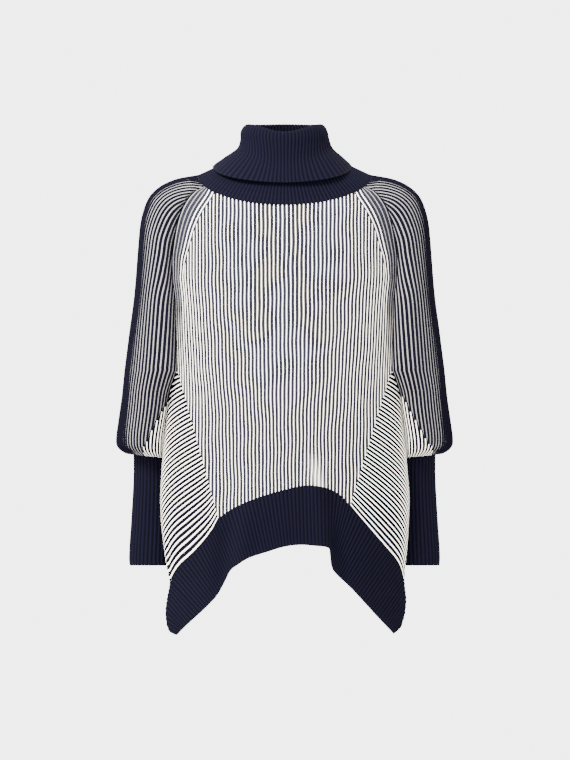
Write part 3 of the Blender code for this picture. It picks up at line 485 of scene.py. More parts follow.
def rib_places(first, last):
    """Rib counts of the lines of points between two ribs, with the height of each."""
    places = []
    for rib in range(first, last):
        places += [(rib + offset, height) for offset, height in RIB_PROFILE]
    return places + [(float(last), 0.0)]


def sideways(x, z):
    """The ribs wander a little from side to side."""
    wave = 0.4 * math.sin(z / 17.0 + x / 31.0) + 0.3 * math.sin(z / 9.3 - x / 13.0 + 1.0)
    wave += 0.3 * math.sin(z / 41.0 + x / 11.0 + 2.0)
    return wave * smooth((160.0 - abs(x)) / 60.0)


def crossing(inside, start, end):
    """Where a test that holds at the start stops holding on the way to the end."""
    for _ in range(30):
        middle = (start + end) / 2.0
        if inside(middle):
            start = middle
        else:
            end = middle
    return start


# ---------------------------------------------------------------- front and back
# Painted highlight: a pale streak painted on the front's ribs where a crease just above the hem
# band catches the light.
CREASE_HIGHLIGHT_TOP = (38.0, -405.0)
CREASE_HIGHLIGHT_LOW = (57.0, -487.0)
CREASE_HIGHLIGHT_WIDTH = 7.0


def panel_bottom(rib, facing):
    """Height at which a rib line of the front or back ends, on the hem or on a gore seam."""
    side = -1 if rib < 0 else 1

    def inside(z):
        x = rib_x(rib, z, facing)
        return z > hem_top_z(x) and (z > GORE_SEAMS[side][1] or abs(x) < gore_seam_x(z, side))

    return crossing(inside, UNDERARM_Z + 30.0, -560.0)


def panel_top(rib, facing, upright):
    """Height at which it ends above: on the neckline, or on the line of decreases."""
    def inside(z):
        x = rib_x(rib, z, facing)
        if upright and z > FASHION_Z and abs(x) > fashion_x(z, facing):
            return False
        return not (abs(x) < NECK_HALF_WIDTH and z > neck_height(x, facing))

    return crossing(inside, FASHION_Z - 1.0, 12.0)


def crease_highlight(x, z, facing):
    """How strongly the painted highlight pales the ribs on a crease just above the hem band in
    front.
    """
    if facing > 0 or z > CREASE_HIGHLIGHT_TOP[1]:
        return 0.0
    part = (CREASE_HIGHLIGHT_TOP[1] - z) / (CREASE_HIGHLIGHT_TOP[1] - CREASE_HIGHLIGHT_LOW[1])
    middle = CREASE_HIGHLIGHT_TOP[0] + (CREASE_HIGHLIGHT_LOW[0] - CREASE_HIGHLIGHT_TOP[0]) * part
    return smooth(part * 1.6) * math.exp(-((x - middle) / CREASE_HIGHLIGHT_WIDTH) ** 2)


def panel_entries(rib, height, facing, upright):
    place = rib if upright else math.copysign(max(abs(rib), RIBS_UPRIGHT + 0.001), rib)
    low, high = panel_bottom(place, facing), panel_top(place, facing, upright)
    count = max(2, round((high - low) / ROW))
    entries = []
    for k in range(count + 1):
        z = low + (high - low) * k / count
        x = rib_x(place, z, facing)
        edge = min(z - low, high - z)
        point = body_point(x + sideways(x, z) * smooth(edge / 30.0), z, facing)
        tall = TALL_RIB * height * (1.0 - 0.6 * smooth((abs(rib) - 19.0) / 9.0))
        entries.append((point, rib, z, tall, crease_highlight(x, z, facing)))
    return entries


def make_panel(name, facing, material):
    sheet = Sheet()
    upright = [sheet.line(panel_entries(rib, height, facing, True))
               for rib, height in rib_places(-RIBS_UPRIGHT, RIBS_UPRIGHT)]
    sheet.join_all(upright)
    for first, last in ((-RIBS_HALF, -RIBS_UPRIGHT), (RIBS_UPRIGHT, RIBS_HALF)):
        lines = [sheet.line(panel_entries(rib, height, facing, False))
                 for rib, height in rib_places(first, last)]
        sheet.join_all(lines)
    if facing > 0:
        sheet.turn_over()
    return sheet.build(name, material)


# ---------------------------------------------------------------- side gores
GORE_RIBS = 38        # ribs that end on one gore seam
GORE_DIP = 12.0       # how far the upper ribs start below the underarm at the side seam
PAST_SIDE = 300.0     # further out than any side seam


def straight_gore_place(run, share, side):
    """A place of a gore in the front view, with the rib lines straight in height."""
    foot_z = hem_top_z(side * GORE_SEAMS[side][2])
    corner_z = hem_top_z(side * PAST_SIDE)
    near_z = UNDERARM_Z + (foot_z - UNDERARM_Z) * run
    dip = GORE_DIP * smooth(run * 16.0) * (1.0 - run)
    far_z = UNDERARM_Z + (corner_z - UNDERARM_Z) * run - dip
    near_x = gore_seam_x(near_z, side)
    near_angle = math.asin(near_x / half_width(side, near_z))
    far_angle = math.pi / 2.0
    z = far_z + (near_z - far_z) * share
    angle = far_angle + (near_angle - far_angle) * share
    return half_width(side, z) * math.sin(angle), z


def gore_place(run, share, side):
    """The same with the lower rib lines following the hem band: run goes down from the
    underarm to the band, share from the side seam to the seam with the front or back."""
    x_out, z = straight_gore_place(run, share, side)
    last_x, last_z = straight_gore_place(1.0, share, side)
    z += (hem_top_z(side * last_x) - last_z) * run ** 6
    return side * x_out, clamp(z, hem_top_z(side * x_out), UNDERARM_Z)


def make_gore(name, side, facing, material):
    sheet = Sheet()
    lines = []
    for rib, height in rib_places(0, GORE_RIBS):
        run = rib / GORE_RIBS
        near = Vector((*gore_place(run, 1.0, side), 0.0))
        far = Vector((*gore_place(run, 0.0, side), 0.0))
        count = max(2, round((near - far).length / ROW))
        entries = []
        along = 0.0
        for k in range(count + 1):
            x, z = gore_place(run, k / count, side)
            point = body_point(x, z, facing)
            if entries:
                along += (point - entries[-1][0]).length
            tall = TALL_RIB * height * (0.25 + 0.75 * smooth(2.0 * k / count))
            entries.append((point, rib, along, tall, 0.0))
        lines.append(sheet.line(entries))
    sheet.join_all(lines)
    if side * facing < 0:
        sheet.turn_over()
    return sheet.build(name, material)


# ---------------------------------------------------------------- hem bands
def hem_place(place, share, facing, depth=0.0):
    """A point of a hem band: place counts stations along it, share goes from low to top edge."""
    top_x, top_z, low_x, low_z = table_row(HEM_STATIONS, place)
    if place <= HEM_SIDE_ROWS:
        top_x = -half_width(-1.0, top_z)
    elif place >= HEM_LAST - HEM_SIDE_ROWS:
        top_x = half_width(1.0, top_z)
    x = low_x + (top_x - low_x) * share
    z = low_z + (top_z - low_z) * share
    normal = outward(x, z, facing)
    return body_point(x, z, facing) + normal * -depth


BAND_PITCH = 5.4       # across one plain rib of a band, cuff or the neckband
HEM_ROWS = 13          # rows of points down a rib of the band
HEM_EDGE = 1.5         # the last of them stops this far above the lower edge
HEM_INSIDE = (0.2, 0.4, 0.7, 1.0)     # rows up the inner layer, as shares of the height
HEM_ROUND = (          # round the lower edge: distance above it, share of the wall's thickness
    (0.7, 0.0), (0.1, 0.12), (-0.5, 0.5), (0.1, 0.88), (0.7, 1.0),
)


def hem_rib_places():
    """Where each rib line lies along the band, so that the ribs are evenly spaced."""
    steps = 500
    reach = [0.0]
    before = None
    for k in range(steps + 1):
        row = table_row(HEM_STATIONS, HEM_LAST * k / steps)
        middle = Vector((0.5 * (row[0] + row[2]), 0.5 * (row[1] + row[3])))
        if before is not None:
            reach.append(reach[-1] + (middle - before).length)
        before = middle
    ribs = round(reach[-1] / BAND_PITCH)
    places = []
    for rib, height in rib_places(0, ribs):
        distance = reach[-1] * rib / ribs
        index = int(clamp(bisect.bisect(reach, distance), 1, steps))
        part = (distance - reach[index - 1]) / (reach[index] - reach[index - 1])
        places.append((rib, height, HEM_LAST * (index - 1 + part) / steps))
    return places


def make_hem(name, facing, material):
    sheet = Sheet()
    lines = []
    for rib, height, place in hem_rib_places():
        top_x, top_z, low_x, low_z = table_row(HEM_STATIONS, place)
        length = max(4.0, math.hypot(top_x - low_x, top_z - low_z))
        entries = []
        for k in range(HEM_ROWS):
            share = 1.0 - (1.0 - HEM_EDGE / length) * k / (HEM_ROWS - 1.0)
            fade = smooth((1.0 - k / (HEM_ROWS - 1.0)) * 6.0)
            point = hem_place(place, share, facing)
            entries.append((point, rib, length * (1.0 - share), BAND_RIB * height * fade, 0.0))
        for ahead, deep in HEM_ROUND:
            point = hem_place(place, ahead / length, facing, deep * WALL)
            entries.append((point, rib, length - ahead, 0.0, 0.0))
        for share in HEM_INSIDE:
            point = hem_place(place, share, facing, WALL)
            entries.append((point, rib, length * (1.0 + share), 0.0, 0.0))
        lines.append(sheet.line(entries))
    sheet.join_all(lines)
    if facing < 0:
        sheet.turn_over()
    return sheet.build(name, material)


# ---------------------------------------------------------------- sleeves
# Sections of the right sleeve, from the neckline down: out_x, out_z, out_y of the shoulder
# and the outer edge of the arm, front_z and back_z, where the section meets the raglan
# seams, and bulge, how far the sleeve stands out beside them.
SLEEVE_STATIONS = (
    (128.2, 1.0, 0.0, -14.5, 3.2, 0.0),
    (146.0, -1.0, 1.0, -19.0, -3.0, 3.0),
    (164.0, -5.0, 3.0, -25.0, -12.0, 7.0),
    (184.0, -14.0, 6.0, -35.0, -24.0, 11.0),
    (200.0, -28.0, 10.0, -48.0, -40.0, 16.0),
    (209.0, -46.0, 14.0, -64.0, -58.0, 21.0),
    (215.0, -70.0, 17.0, -86.0, -82.0, 26.0),
    (218.0, -100.0, 19.0, -112.0, -110.0, 31.0),
    (224.0, -175.0, 22.0, -178.0, -178.0, 40.0),
    (231.5, -232.0, 22.0, -232.0, -232.0, 42.0),
    (239.0, -290.0, 22.0, -290.0, -290.0, 42.0),
)
# Below the underarm the sleeve is a closed tube: z, out_x and out_y of its outer edge,
# front_y and back_y, where it tucks in beside the body, limit, how close it comes to the
# middle, bulge, and gather, how far it is drawn in towards the cuff.
TUBE_STATIONS = (
    (-290.0, 239.0, 22.0, -43.6, 37.8, 160.0, 42.0, 0.0),
    (-330.0, 243.0, 22.0, -28.0, 46.0, 163.0, 41.0, 0.0),
    (-365.0, 248.0, 22.0, -22.0, 52.0, 165.0, 37.0, 0.0),
    (-392.0, 251.5, 22.0, -20.0, 54.0, 165.5, 31.0, 0.0),
    (-406.0, 252.5, 22.0, -20.0, 54.0, 165.5, 26.0, 0.12),
    (-416.0, 252.5, 22.0, -20.0, 54.0, 165.5, 24.0, 0.6),
    (-417.0, 252.5, 22.0, -20.0, 54.0, 165.5, 24.0, 1.0),
)
SLEEVE_RIB_PITCH = 7.0
SLEEVE_BODY_GAP = 0.35    # between the sleeve and the body at the underarm
SLEEVE_BODY_SPREAD = 0.12 # how fast that gap opens below it
SLEEVE_BODY_ROOM = 4.0    # and how far it opens

CUFF_TOP_Z = -417.5
CUFF_COLUMNS = ("z", "centre_x", "centre_y", "half_width", "half_depth")
CUFF_STATIONS = (
    (-417.0, 196.0, 23.0, 30.0, 25.0),
    (-450.0, 195.0, 24.0, 31.0, 24.5),
    (-515.0, 196.5, 26.0, 33.0, 24.0),
    (-560.0, 198.5, 28.0, 34.0, 24.0),
    (-583.0, 199.5, 29.0, 33.5, 24.0),
)


def bezier(points, share):
    a, b, c, d = points
    rest = 1.0 - share
    return (
        a * rest ** 3 + b * (3.0 * rest * rest * share)
        + c * (3.0 * rest * share * share) + d * share ** 3
    )


class Arc:
    """A curve in space that can be read by the distance along it."""

    def __init__(self, points):
        self.points = points
        self.reach = [0.0]
        for one, other in zip(points, points[1:]):
            self.reach.append(self.reach[-1] + (other - one).length)
        self.length = self.reach[-1]

    def at(self, distance):
        distance = clamp(distance, 0.0, self.length)
        index = int(clamp(bisect.bisect(self.reach, distance), 1, len(self.reach) - 1))
        span = self.reach[index] - self.reach[index - 1]
        part = 0.0 if span == 0.0 else (distance - self.reach[index - 1]) / span
        return self.points[index - 1].lerp(self.points[index], part)


def half_section(out, seam, bulge, facing):
    """From the outer edge of the arm round its front or back to where it meets the body."""
    reach = abs(seam.y - out.y) * 0.75 + bulge * 0.3
    points = (
        out,
        out + Vector((0.0, facing * reach, 0.0)),
        seam + Vector((-0.5 * bulge, facing * bulge, 0.0)),
        seam,
    )
    return Arc([bezier(points, k / 24.0) for k in range(25)])


def raglan_point(z, facing):
    """Where the right sleeve meets its raglan seam."""
    x = -raglan_x(z, facing)
    return body_point(x, z, facing) + Vector((-SLEEVE_BODY_GAP, 0.0, 0.0))


def upper_section(row):
    """Front and back halves of the sleeve at a row of the sleeve table."""
    out_x, out_z, out_y, front_z, back_z, bulge = row
    out = Vector((-out_x, out_y, out_z))
    front = raglan_point(front_z, -1)
    back = raglan_point(back_z, 1)
    if out_x == SLEEVE_STATIONS[0][0]:
        corner = RAGLAN_TOP_X + SLEEVE_BODY_GAP
        steps = [corner + (NECK_HALF_WIDTH - corner) * math.sin(k * math.pi / 24.0)
                 for k in range(13)]
        halves = []
        for facing in (-1, 1):
            halves.append(Arc([neck_point(-x, facing) for x in reversed(steps)]))
        return halves
    return [half_section(out, front, bulge, -1), half_section(out, back, bulge, 1)]


def side_x(y, z):
    """Distance from the middle to the body's side at a depth, on the wearer's right."""
    seam = body_value("side_y", z)
    reach = body_value("front", z) + seam if y < seam else body_value("back", z) - seam
    lift = clamp(abs(y - seam) / reach) ** (body_value("round", z) / 2.0)
    return body_value("half_right", z) * math.sqrt(1.0 - min(1.0, lift * lift))


def tuck_point(y, z, limit):
    """A point of the sleeve's inner side, just clear of the body."""
    gap = SLEEVE_BODY_GAP + min(SLEEVE_BODY_SPREAD * (UNDERARM_Z - z), SLEEVE_BODY_ROOM)
    return Vector((-max(side_x(y, z) + gap, limit + SLEEVE_BODY_GAP), y, z))


def cuff_point(angle, z, height=0.0):
    """A point of the right cuff; 0 is the front, positive goes round by the outer edge."""
    def value(name):
        return read_table(CUFF_STATIONS, z, CUFF_COLUMNS.index(name))

    across, deep = math.sin(angle), math.cos(angle)
    width, depth = value("half_width") + height, value("half_depth") + height
    return Vector((-value("centre_x") - width * across, value("centre_y") - depth * deep, z))


def tube_section(row):
    """Front half, inner side and back half of the sleeve below the underarm."""
    z, out_x, out_y, front_y, back_y, limit, bulge, _ = row
    out = Vector((-out_x, out_y, z))
    front = tuck_point(front_y, z, limit)
    back = tuck_point(back_y, z, limit)
    steps = [front_y + (back_y - front_y) * k / 16.0 for k in range(17)]
    side = Arc([tuck_point(y, z, limit) for y in steps])
    return [half_section(out, front, bulge, -1), half_section(out, back, bulge, 1), side]


def gathered(point, row):
    """Draw a point of the tube in towards the cuff."""
    gather = row[-1]
    if gather == 0.0:
        return point
    middle = Vector((-0.5 * (row[1] + row[5]), row[2] - 3.0, point.z))
    way = point - middle
    ring = cuff_point(math.atan2(-way.x, -way.y), CUFF_TOP_Z, 0.2)
    ring.z = point.z
    return point.lerp(ring, gather)


TUBE_STEPS = (5, 5, 4, 4, 4, 1)                # rows of points between the tube's stations
UPPER_STEPS = (7, 8, 10, 4, 3, 3, 3, 3, 3)     # the same above the underarm, going up
NECK_STEPS = 3                                 # and up to the neckline

# Where the knit of each sleeve changes its colours, as height and distance from the middle:
# below this line the ribs are cream.
TURN_LINES = {
    -1: ((-322.0, 160.0), (-327.0, 169.0), (-352.5, 187.0), (-379.5, 199.0), (-405.0, 212.0)),
    1: ((-322.0, 172.0), (-328.5, 179.0), (-357.0, 193.0), (-390.0, 211.0), (-405.0, 223.0)),
}


def sleeve_sections():
    """All sections from the cuff up, as (front half, back half, inner side, table row)."""
    sections = []
    rows = TUBE_STATIONS[::-1]
    for index, count in enumerate(TUBE_STEPS[::-1]):
        for k in range(count):
            row = table_row(rows, index + k / count)
            sections.append((*tube_section(row), row))
    sections.append((*tube_section(rows[-1]), rows[-1]))
    rows = SLEEVE_STATIONS[:0:-1]
    for index, count in enumerate(UPPER_STEPS):
        for k in range(count):
            if index + k > 0:
                row = table_row(rows, index + k / count)
                sections.append((*upper_section(row), None, row))
    below = upper_section(rows[-1])
    above = upper_section(SLEEVE_STATIONS[0])
    for k in range(NECK_STEPS + 1):
        part = k / NECK_STEPS
        halves = []
        for one, other in zip(below, above):
            steps = [s / 24.0 for s in range(25)]
            halves.append(Arc([one.at(one.length * s).lerp(other.at(other.length * s), part)
                               for s in steps]))
        sections.append((*halves, None, SLEEVE_STATIONS[0]))
    return sections


UNDERARM = sum(TUBE_STEPS)            # index of the section at the underarm
FRONT, BACK, SIDE = 0, 1, 2           # the parts of a section; the side lies against the body
TILT_Z = -392.0                       # below this the tube tilts down at its outer edge
TILT_REACH = 22.0                     # over this height
TILT = 0.09                           # by this much a millimetre from the middle of the tube
TUBE_MIDDLE_X = 226.0
RIB_FOOT_Z = -418.0                   # the ribs rise from here, at the cuff
SIDE_TURN_Z = -310.0                  # height of the colour change on the inner side


def section_point(sections, index, part, distance):
    """A point of one part of a section; in the tube the distance shrinks with the section."""
    arc, row = sections[index][part], sections[index][3]
    if index > UNDERARM:
        return arc.at(distance)
    point = gathered(arc.at(distance * arc.length / sections[UNDERARM][part].length), row)
    tilt = smooth((TILT_Z - point.z) / TILT_REACH)
    return point + Vector((0.0, 0.0, -TILT * (point.x + TUBE_MIDDLE_X) * tilt))


def turn_height(sections, half, distance, side):
    """Height below which a rib of the sleeve has the cream colouring."""
    line = TURN_LINES[side]
    for index in range(UNDERARM, -1, -1):
        point = section_point(sections, index, half, distance)
        if point.z < line[0][0] and -point.x < read_table(line, point.z, 1):
            return point.z
    return -1000.0


def sleeve_line(sections, half, rib, step):
    """A line from the cuff up to the neckline or the raglan seam, and the places on the seam
    between it and the next line to reach the seam."""
    distance = rib * SLEEVE_RIB_PITCH
    places = [section_point(sections, index, half, distance) for index in range(UNDERARM + 1)]
    on_seam = []
    for index in range(UNDERARM, len(sections) - 1):
        here, above = sections[index][half].length, sections[index + 1][half].length
        if above <= distance:
            part = clamp((here - distance) / max(here - above, 1e-6), 0.02, 1.0)
            start = sections[index][half].at(here)
            places.append(start.lerp(sections[index + 1][half].at(above), part))
            for further in range(index + 1, len(sections)):
                reach = sections[further][half].length
                if reach <= distance - step:
                    break
                on_seam.append(sections[further][half].at(reach))
            break
        places.append(section_point(sections, index + 1, half, distance))
    return places, on_seam


def sleeve_entries(places, rib, height, turn_z, along=0.0):
    entries = []
    for point in places:
        if entries:
            along += (point - entries[-1][0]).length
        tall = TALL_RIB * height * smooth((point.z - RIB_FOOT_Z) / 9.0)
        entries.append((point, rib, along, tall, point.z - turn_z))
    return entries


def make_sleeve(name, side, material):
    sections = sleeve_sections()
    sheet = Sheet()
    for half in (FRONT, BACK):
        limit = sections[UNDERARM][half].length
        ribs = [(rib, height) for rib, height in rib_places(0, int(limit / SLEEVE_RIB_PITCH) + 1)
                if rib * SLEEVE_RIB_PITCH < limit - 0.3]
        ribs.append((limit / SLEEVE_RIB_PITCH, 0.0))
        found = []
        for index, (rib, height) in enumerate(ribs):
            step = (rib - ribs[index - 1][0]) * SLEEVE_RIB_PITCH if index else 0.0
            centre = (int(rib) + 0.5) * SLEEVE_RIB_PITCH
            turn_z = turn_height(sections, half, min(centre, limit), side)
            places, on_seam = sleeve_line(sections, half, rib, step)
            signed = -rib if half == FRONT else rib
            entries = sleeve_entries(places, signed, height, turn_z)
            further = sleeve_entries(on_seam, signed, 0.0, turn_z, entries[-1][2])
            found.append((sheet.line(entries), sheet.line(further)))
        for (one, _), (other, further) in zip(found, found[1:]):
            if half == FRONT:
                sheet.join(other + further, one)
            else:
                sheet.join(one, other + further)
    limit = sections[UNDERARM][SIDE].length
    ribs = int(limit / SLEEVE_RIB_PITCH)
    side_lines = []
    for rib, height in rib_places(0, ribs):
        places = [section_point(sections, index, SIDE, limit * (1.0 - rib / ribs))
                  for index in range(UNDERARM + 1)]
        side_lines.append(sheet.line(sleeve_entries(places, rib, height, SIDE_TURN_Z)))
    sheet.join_all(side_lines)
    sheet.turn_over()
    if side > 0:
        sheet.mirror()
    return sheet.build(name, material, same_place=True)


# ---------------------------------------------------------------- cuffs
CUFF_BAND_RIBS = 34
CUFF_ROWS = 25         # rows of points down a rib of the cuff
CUFF_OVERLAP = 3.0     # how far the cuff reaches up into the sleeve
CUFF_EDGE = 3.0        # the last row stops this far above the lower edge
CUFF_INSIDE = (15.0, 60.0, 110.0, 160.0)       # rows up the inner layer
CUFF_ROUND = (         # round the lower edge: height above it, how far inwards
    (1.2, 0.0), (0.35, 0.3), (0.0, 1.1), (0.35, 1.9), (1.2, 2.2),
)


def make_cuff(name, side, material):
    sheet = Sheet()
    lines = []
    low = CUFF_STATIONS[-1][0]
    top = CUFF_TOP_Z + CUFF_OVERLAP
    for rib, height in rib_places(0, CUFF_BAND_RIBS):
        angle = 2.0 * math.pi * rib / CUFF_BAND_RIBS
        entries = []
        for k in range(CUFF_ROWS):
            z = top + (low + CUFF_EDGE - top) * k / (CUFF_ROWS - 1.0)
            fade = smooth((z - low) / 10.0)
            entries.append((cuff_point(angle, z), rib, top - z, BAND_RIB * height * fade, 0.0))
        for above, deep in CUFF_ROUND:
            entries.append((cuff_point(angle, low + above, -deep), rib, top - low, 0.0, 0.0))
        for above in CUFF_INSIDE:
            point = cuff_point(angle, low + above, -WALL)
            entries.append((point, rib, top - low + above, 0.0, 0.0))
        lines.append(sheet.line(entries))
    sheet.join_all(lines)
    if side > 0:
        sheet.mirror()
    return sheet.build(name, material, same_place=True)


# ---------------------------------------------------------------- collar
# The collar is one folded tube.  Each row is a ring of the cloth's middle, from the neckline
# seam up the inside layer, over the fold and down the outer layer to its free edge: reach to
# the right, left, front and back, side_z, front_z, back_z, drop, how steeply the height
# changes round the ring, and corner, how far the ring's four corners stand out.
COLLAR_STATIONS = (
    (98.0, 98.0, 78.5, 68.0, 16.0, -12.0, 25.0, 1.5, 0.0),
    (80.0, 80.0, 69.0, 60.5, 27.0, 5.0, 36.0, 1.8, 0.0),
    (65.0, 65.0, 62.0, 56.0, 41.0, 22.0, 47.0, 2.0, 0.0),
    (58.5, 58.5, 56.5, 52.5, 67.0, 57.5, 70.5, 3.0, 0.0),
    (55.0, 55.0, 56.0, 52.0, 77.3, 65.5, 78.4, 4.0, 0.0),
    (60.5, 59.8, 60.2, 55.7, 74.3, 64.5, 77.3, 4.0, 0.0),
    (64.5, 63.5, 63.0, 58.5, 66.5, 56.5, 70.0, 3.0, 0.0),
    (65.0, 66.0, 64.5, 59.5, 55.0, 42.0, 59.0, 2.0, 0.0),
    (70.0, 71.5, 68.0, 62.0, 42.0, 23.0, 48.0, 2.0, 0.0),
    (88.0, 86.0, 76.5, 67.5, 29.0, 6.0, 37.5, 1.5, 0.03),
    (107.0, 100.5, 85.0, 74.5, 15.5, -8.5, 26.5, 1.15, 0.045),
)
COLLAR_WALL = 1.9


def collar_point(row, angle):
    """A point of a collar ring; 0 is the front middle, positive goes by the wearer's left."""
    right, left, front, back, side_z, front_z, back_z, drop, corner = row
    across, ahead = math.sin(angle), math.cos(angle)
    width = left if across > 0.0 else right
    reach, end_z = (front, front_z) if ahead > 0.0 else (back, back_z)
    wide = 1.0 + corner * (2.0 * across * ahead) ** 2
    z = side_z + (end_z - side_z) * abs(ahead) ** drop
    return Vector((width * across * wide, -reach * ahead * wide, z))


COLLAR_END = 11.0      # place of the free edge, in rows from the neckline seam at 0
BAND_END = 3.6         # the inner face stops here, hidden by the outer layer
OUTER_START = 2.2      # and the outer face starts here
NECKBAND_ROWS = 22
COLLAR_ROWS = 60
NECKBAND_RIBS = 110
COLLAR_RIBS = 72
NECKBAND_CROWD = 0.09  # how far the ribs crowd together in front and behind
COLLAR_CROWD = 0.18
COLLAR_EDGE = (        # round the free edge: share of the half thickness out and ahead
    (1.0, 0.0), (0.7, 0.7), (0.0, 1.0), (-0.7, 0.7), (-1.0, 0.0),
)


def collar_middle(place, angle):
    """The middle of the collar's cloth; place counts rows from the neckline seam at 0."""
    rows = [collar_point(row, angle) for row in COLLAR_STATIONS]
    rows = [tuple(neck_ring(angle))] + [tuple(point) for point in rows]
    return Vector(table_row(rows, place))


def collar_ring(place, ribs, crowd):
    """A ring of the collar's surface: place along the cloth, its ribs and where they crowd."""
    entries = []
    for rib, height in rib_places(0, ribs):
        angle = 2.0 * math.pi * rib / ribs
        angle -= crowd * math.sin(2.0 * angle)
        angle = angle if angle <= math.pi else angle - 2.0 * math.pi
        middle = collar_middle(place, angle)
        ahead = collar_middle(min(place + 0.15, COLLAR_END), angle)
        ahead = ahead - collar_middle(place - 0.15, angle)
        around = collar_middle(place, angle + 0.03) - collar_middle(place, angle - 0.03)
        normal = ahead.cross(around).normalized()
        entries.append((middle, ahead.normalized(), normal, rib, height))
    return entries


def make_collar(name, material):
    sheet = Sheet()
    half = 0.5 * COLLAR_WALL
    rings = []
    for k in range(NECKBAND_ROWS):
        place = BAND_END * k / (NECKBAND_ROWS - 1.0)
        ring = collar_ring(place, NECKBAND_RIBS, NECKBAND_CROWD)
        rings.append([(middle - normal * half, rib, 12.0 * place, BAND_RIB * height, 0.0)
                      for middle, _, normal, rib, height in ring])
    band = [sheet.line(ring) for ring in rings]
    sheet.join_all(band[::-1])
    rings = []
    for k in range(COLLAR_ROWS):
        place = OUTER_START + (COLLAR_END - OUTER_START) * k / (COLLAR_ROWS - 1.0)
        crowd = COLLAR_CROWD * smooth((place - 6.5) / 4.5)
        ring = collar_ring(place, COLLAR_RIBS, crowd)
        fade = smooth((COLLAR_END - place) * 3.0)
        rings.append([(middle + normal * half, rib, 14.0 * place, BAND_RIB * height * fade, 0.0)
                      for middle, _, normal, rib, height in ring])
    edge = collar_ring(COLLAR_END, COLLAR_RIBS, COLLAR_CROWD)
    for out, ahead_share in COLLAR_EDGE:
        rings.append([(middle + normal * half * out + ahead * half * ahead_share, rib, 155.0,
                       0.0, 0.0) for middle, ahead, normal, rib, _ in edge])
    for place in (10.6, 10.0, 9.0):
        ring = collar_ring(place, COLLAR_RIBS, COLLAR_CROWD)
        rings.append([(middle - normal * half, rib, 160.0, 0.0, 0.0)
                      for middle, _, normal, rib, _ in ring])
    sheet.join_all([sheet.line(ring) for ring in rings])
    return sheet.build(name, material, same_place=True)


# ---------------------------------------------------------------- knit materials
CREAM = (0.96, 0.90, 0.78)
NAVY = (0.0013, 0.0010, 0.0034)
# The next two are the bands' navy darkened as painted shade for the grooves and lightened as
# painted light for the rib crests.
NAVY_GROOVE_SHADE = (0.0004, 0.0003, 0.0012)
NAVY_CREST_LIGHT = (0.0019, 0.0016, 0.0054)
MELANGE = (0.020, 0.020, 0.027)
BEIGE = (0.23, 0.22, 0.21)
BEIGE_DARK = (0.09, 0.087, 0.09)
WHITE = (1.0, 1.0, 1.0)
BLACK = (0.0, 0.0, 0.0)


class Nodes:
    """A small helper that builds one knit material."""

    def __init__(self, name):
        self.material = bpy.data.materials.new(name)
        self.material.use_nodes = True
        self.tree = self.material.node_tree
        self.shader = self.tree.nodes["Principled BSDF"]
        self.shader.inputs["Roughness"].default_value = 0.92
        self.shader.inputs["Specular IOR Level"].default_value = 0.03

    def attribute(self, name):
        node = self.tree.nodes.new("ShaderNodeAttribute")
        node.attribute_name = name
        return node.outputs["Fac"]

    def math(self, operation, *values):
        node = self.tree.nodes.new("ShaderNodeMath")
        node.operation = operation
        for socket, value in zip(node.inputs, values):
            if isinstance(value, (int, float)):
                socket.default_value = value
            else:
                self.tree.links.new(value, socket)
        return node.outputs[0]

    def noise(self, scale, detail=2.0):
        node = self.tree.nodes.new("ShaderNodeTexNoise")
        coordinates = self.tree.nodes.new("ShaderNodeTexCoord")
        self.tree.links.new(coordinates.outputs["Object"], node.inputs["Vector"])
        node.inputs["Scale"].default_value = scale
        node.inputs["Detail"].default_value = detail
        return node.outputs["Fac"]

    def ramp(self, value, stops):
        node = self.tree.nodes.new("ShaderNodeValToRGB")
        self.tree.links.new(value, node.inputs["Fac"])
        while len(node.color_ramp.elements) < len(stops):
            node.color_ramp.elements.new(1.0)
        for element, (place, colour) in zip(node.color_ramp.elements, stops):
            element.position = place
            element.color = (*colour, 1.0)
        return node.outputs["Color"]

    def mix(self, share, one, other, blend="MIX"):
        node = self.tree.nodes.new("ShaderNodeMix")
        node.data_type = "RGBA"
        node.blend_type = blend
        for index, value in ((0, share), (6, one), (7, other)):
            socket = node.inputs[index]
            if isinstance(value, tuple):
                socket.default_value = (*value, 1.0)
            elif isinstance(value, (int, float)):
                socket.default_value = value
            else:
                self.tree.links.new(value, socket)
        return node.outputs[2]

    def finish(self, colour, height, strength=0.6, distance=0.0006):
        bump = self.tree.nodes.new("ShaderNodeBump")
        bump.inputs["Strength"].default_value = strength
        bump.inputs["Distance"].default_value = distance
        self.tree.links.new(height, bump.inputs["Height"])
        self.tree.links.new(bump.outputs["Normal"], self.shader.inputs["Normal"])
        self.tree.links.new(colour, self.shader.inputs["Base Color"])
        return self.material

    def across(self, wander=0.10):
        """0 on the crest of a rib, 1 in the groove, a little uneven like yarn."""
        share = self.math("FRACT", self.attribute("rib"))
        share = self.math("ABSOLUTE", self.math("SUBTRACT", share, 0.5))
        share = self.math("MULTIPLY", share, 2.0)
        uneven = self.math("MULTIPLY", self.math("SUBTRACT", self.noise(420.0), 0.5), wander)
        return self.math("ADD", share, uneven)

    def stitches(self, across, pitch):
        """Rows of slanting stitches up each rib, from 0 to 1."""
        slant = self.math("MULTIPLY", across, 0.8)
        rows = self.math("ADD", self.math("DIVIDE", self.attribute("along"), pitch), slant)
        wave = self.math("SINE", self.math("MULTIPLY", rows, 2.0 * math.pi))
        return self.math("MULTIPLY_ADD", wave, 0.5, 0.5)

    def shaded(self, colour, stitches, depth):
        """The colour, darkened between the stitches by painted shade."""
        shade = self.math("MULTIPLY_ADD", stitches, depth, 1.0 - depth)
        return self.mix(1.0, colour, self.ramp(shade, ((0.0, BLACK), (1.0, WHITE))), "MULTIPLY")

    def fuzz(self, stitches):
        return self.math("ADD", stitches, self.math("MULTIPLY", self.noise(1800.0), 0.8))


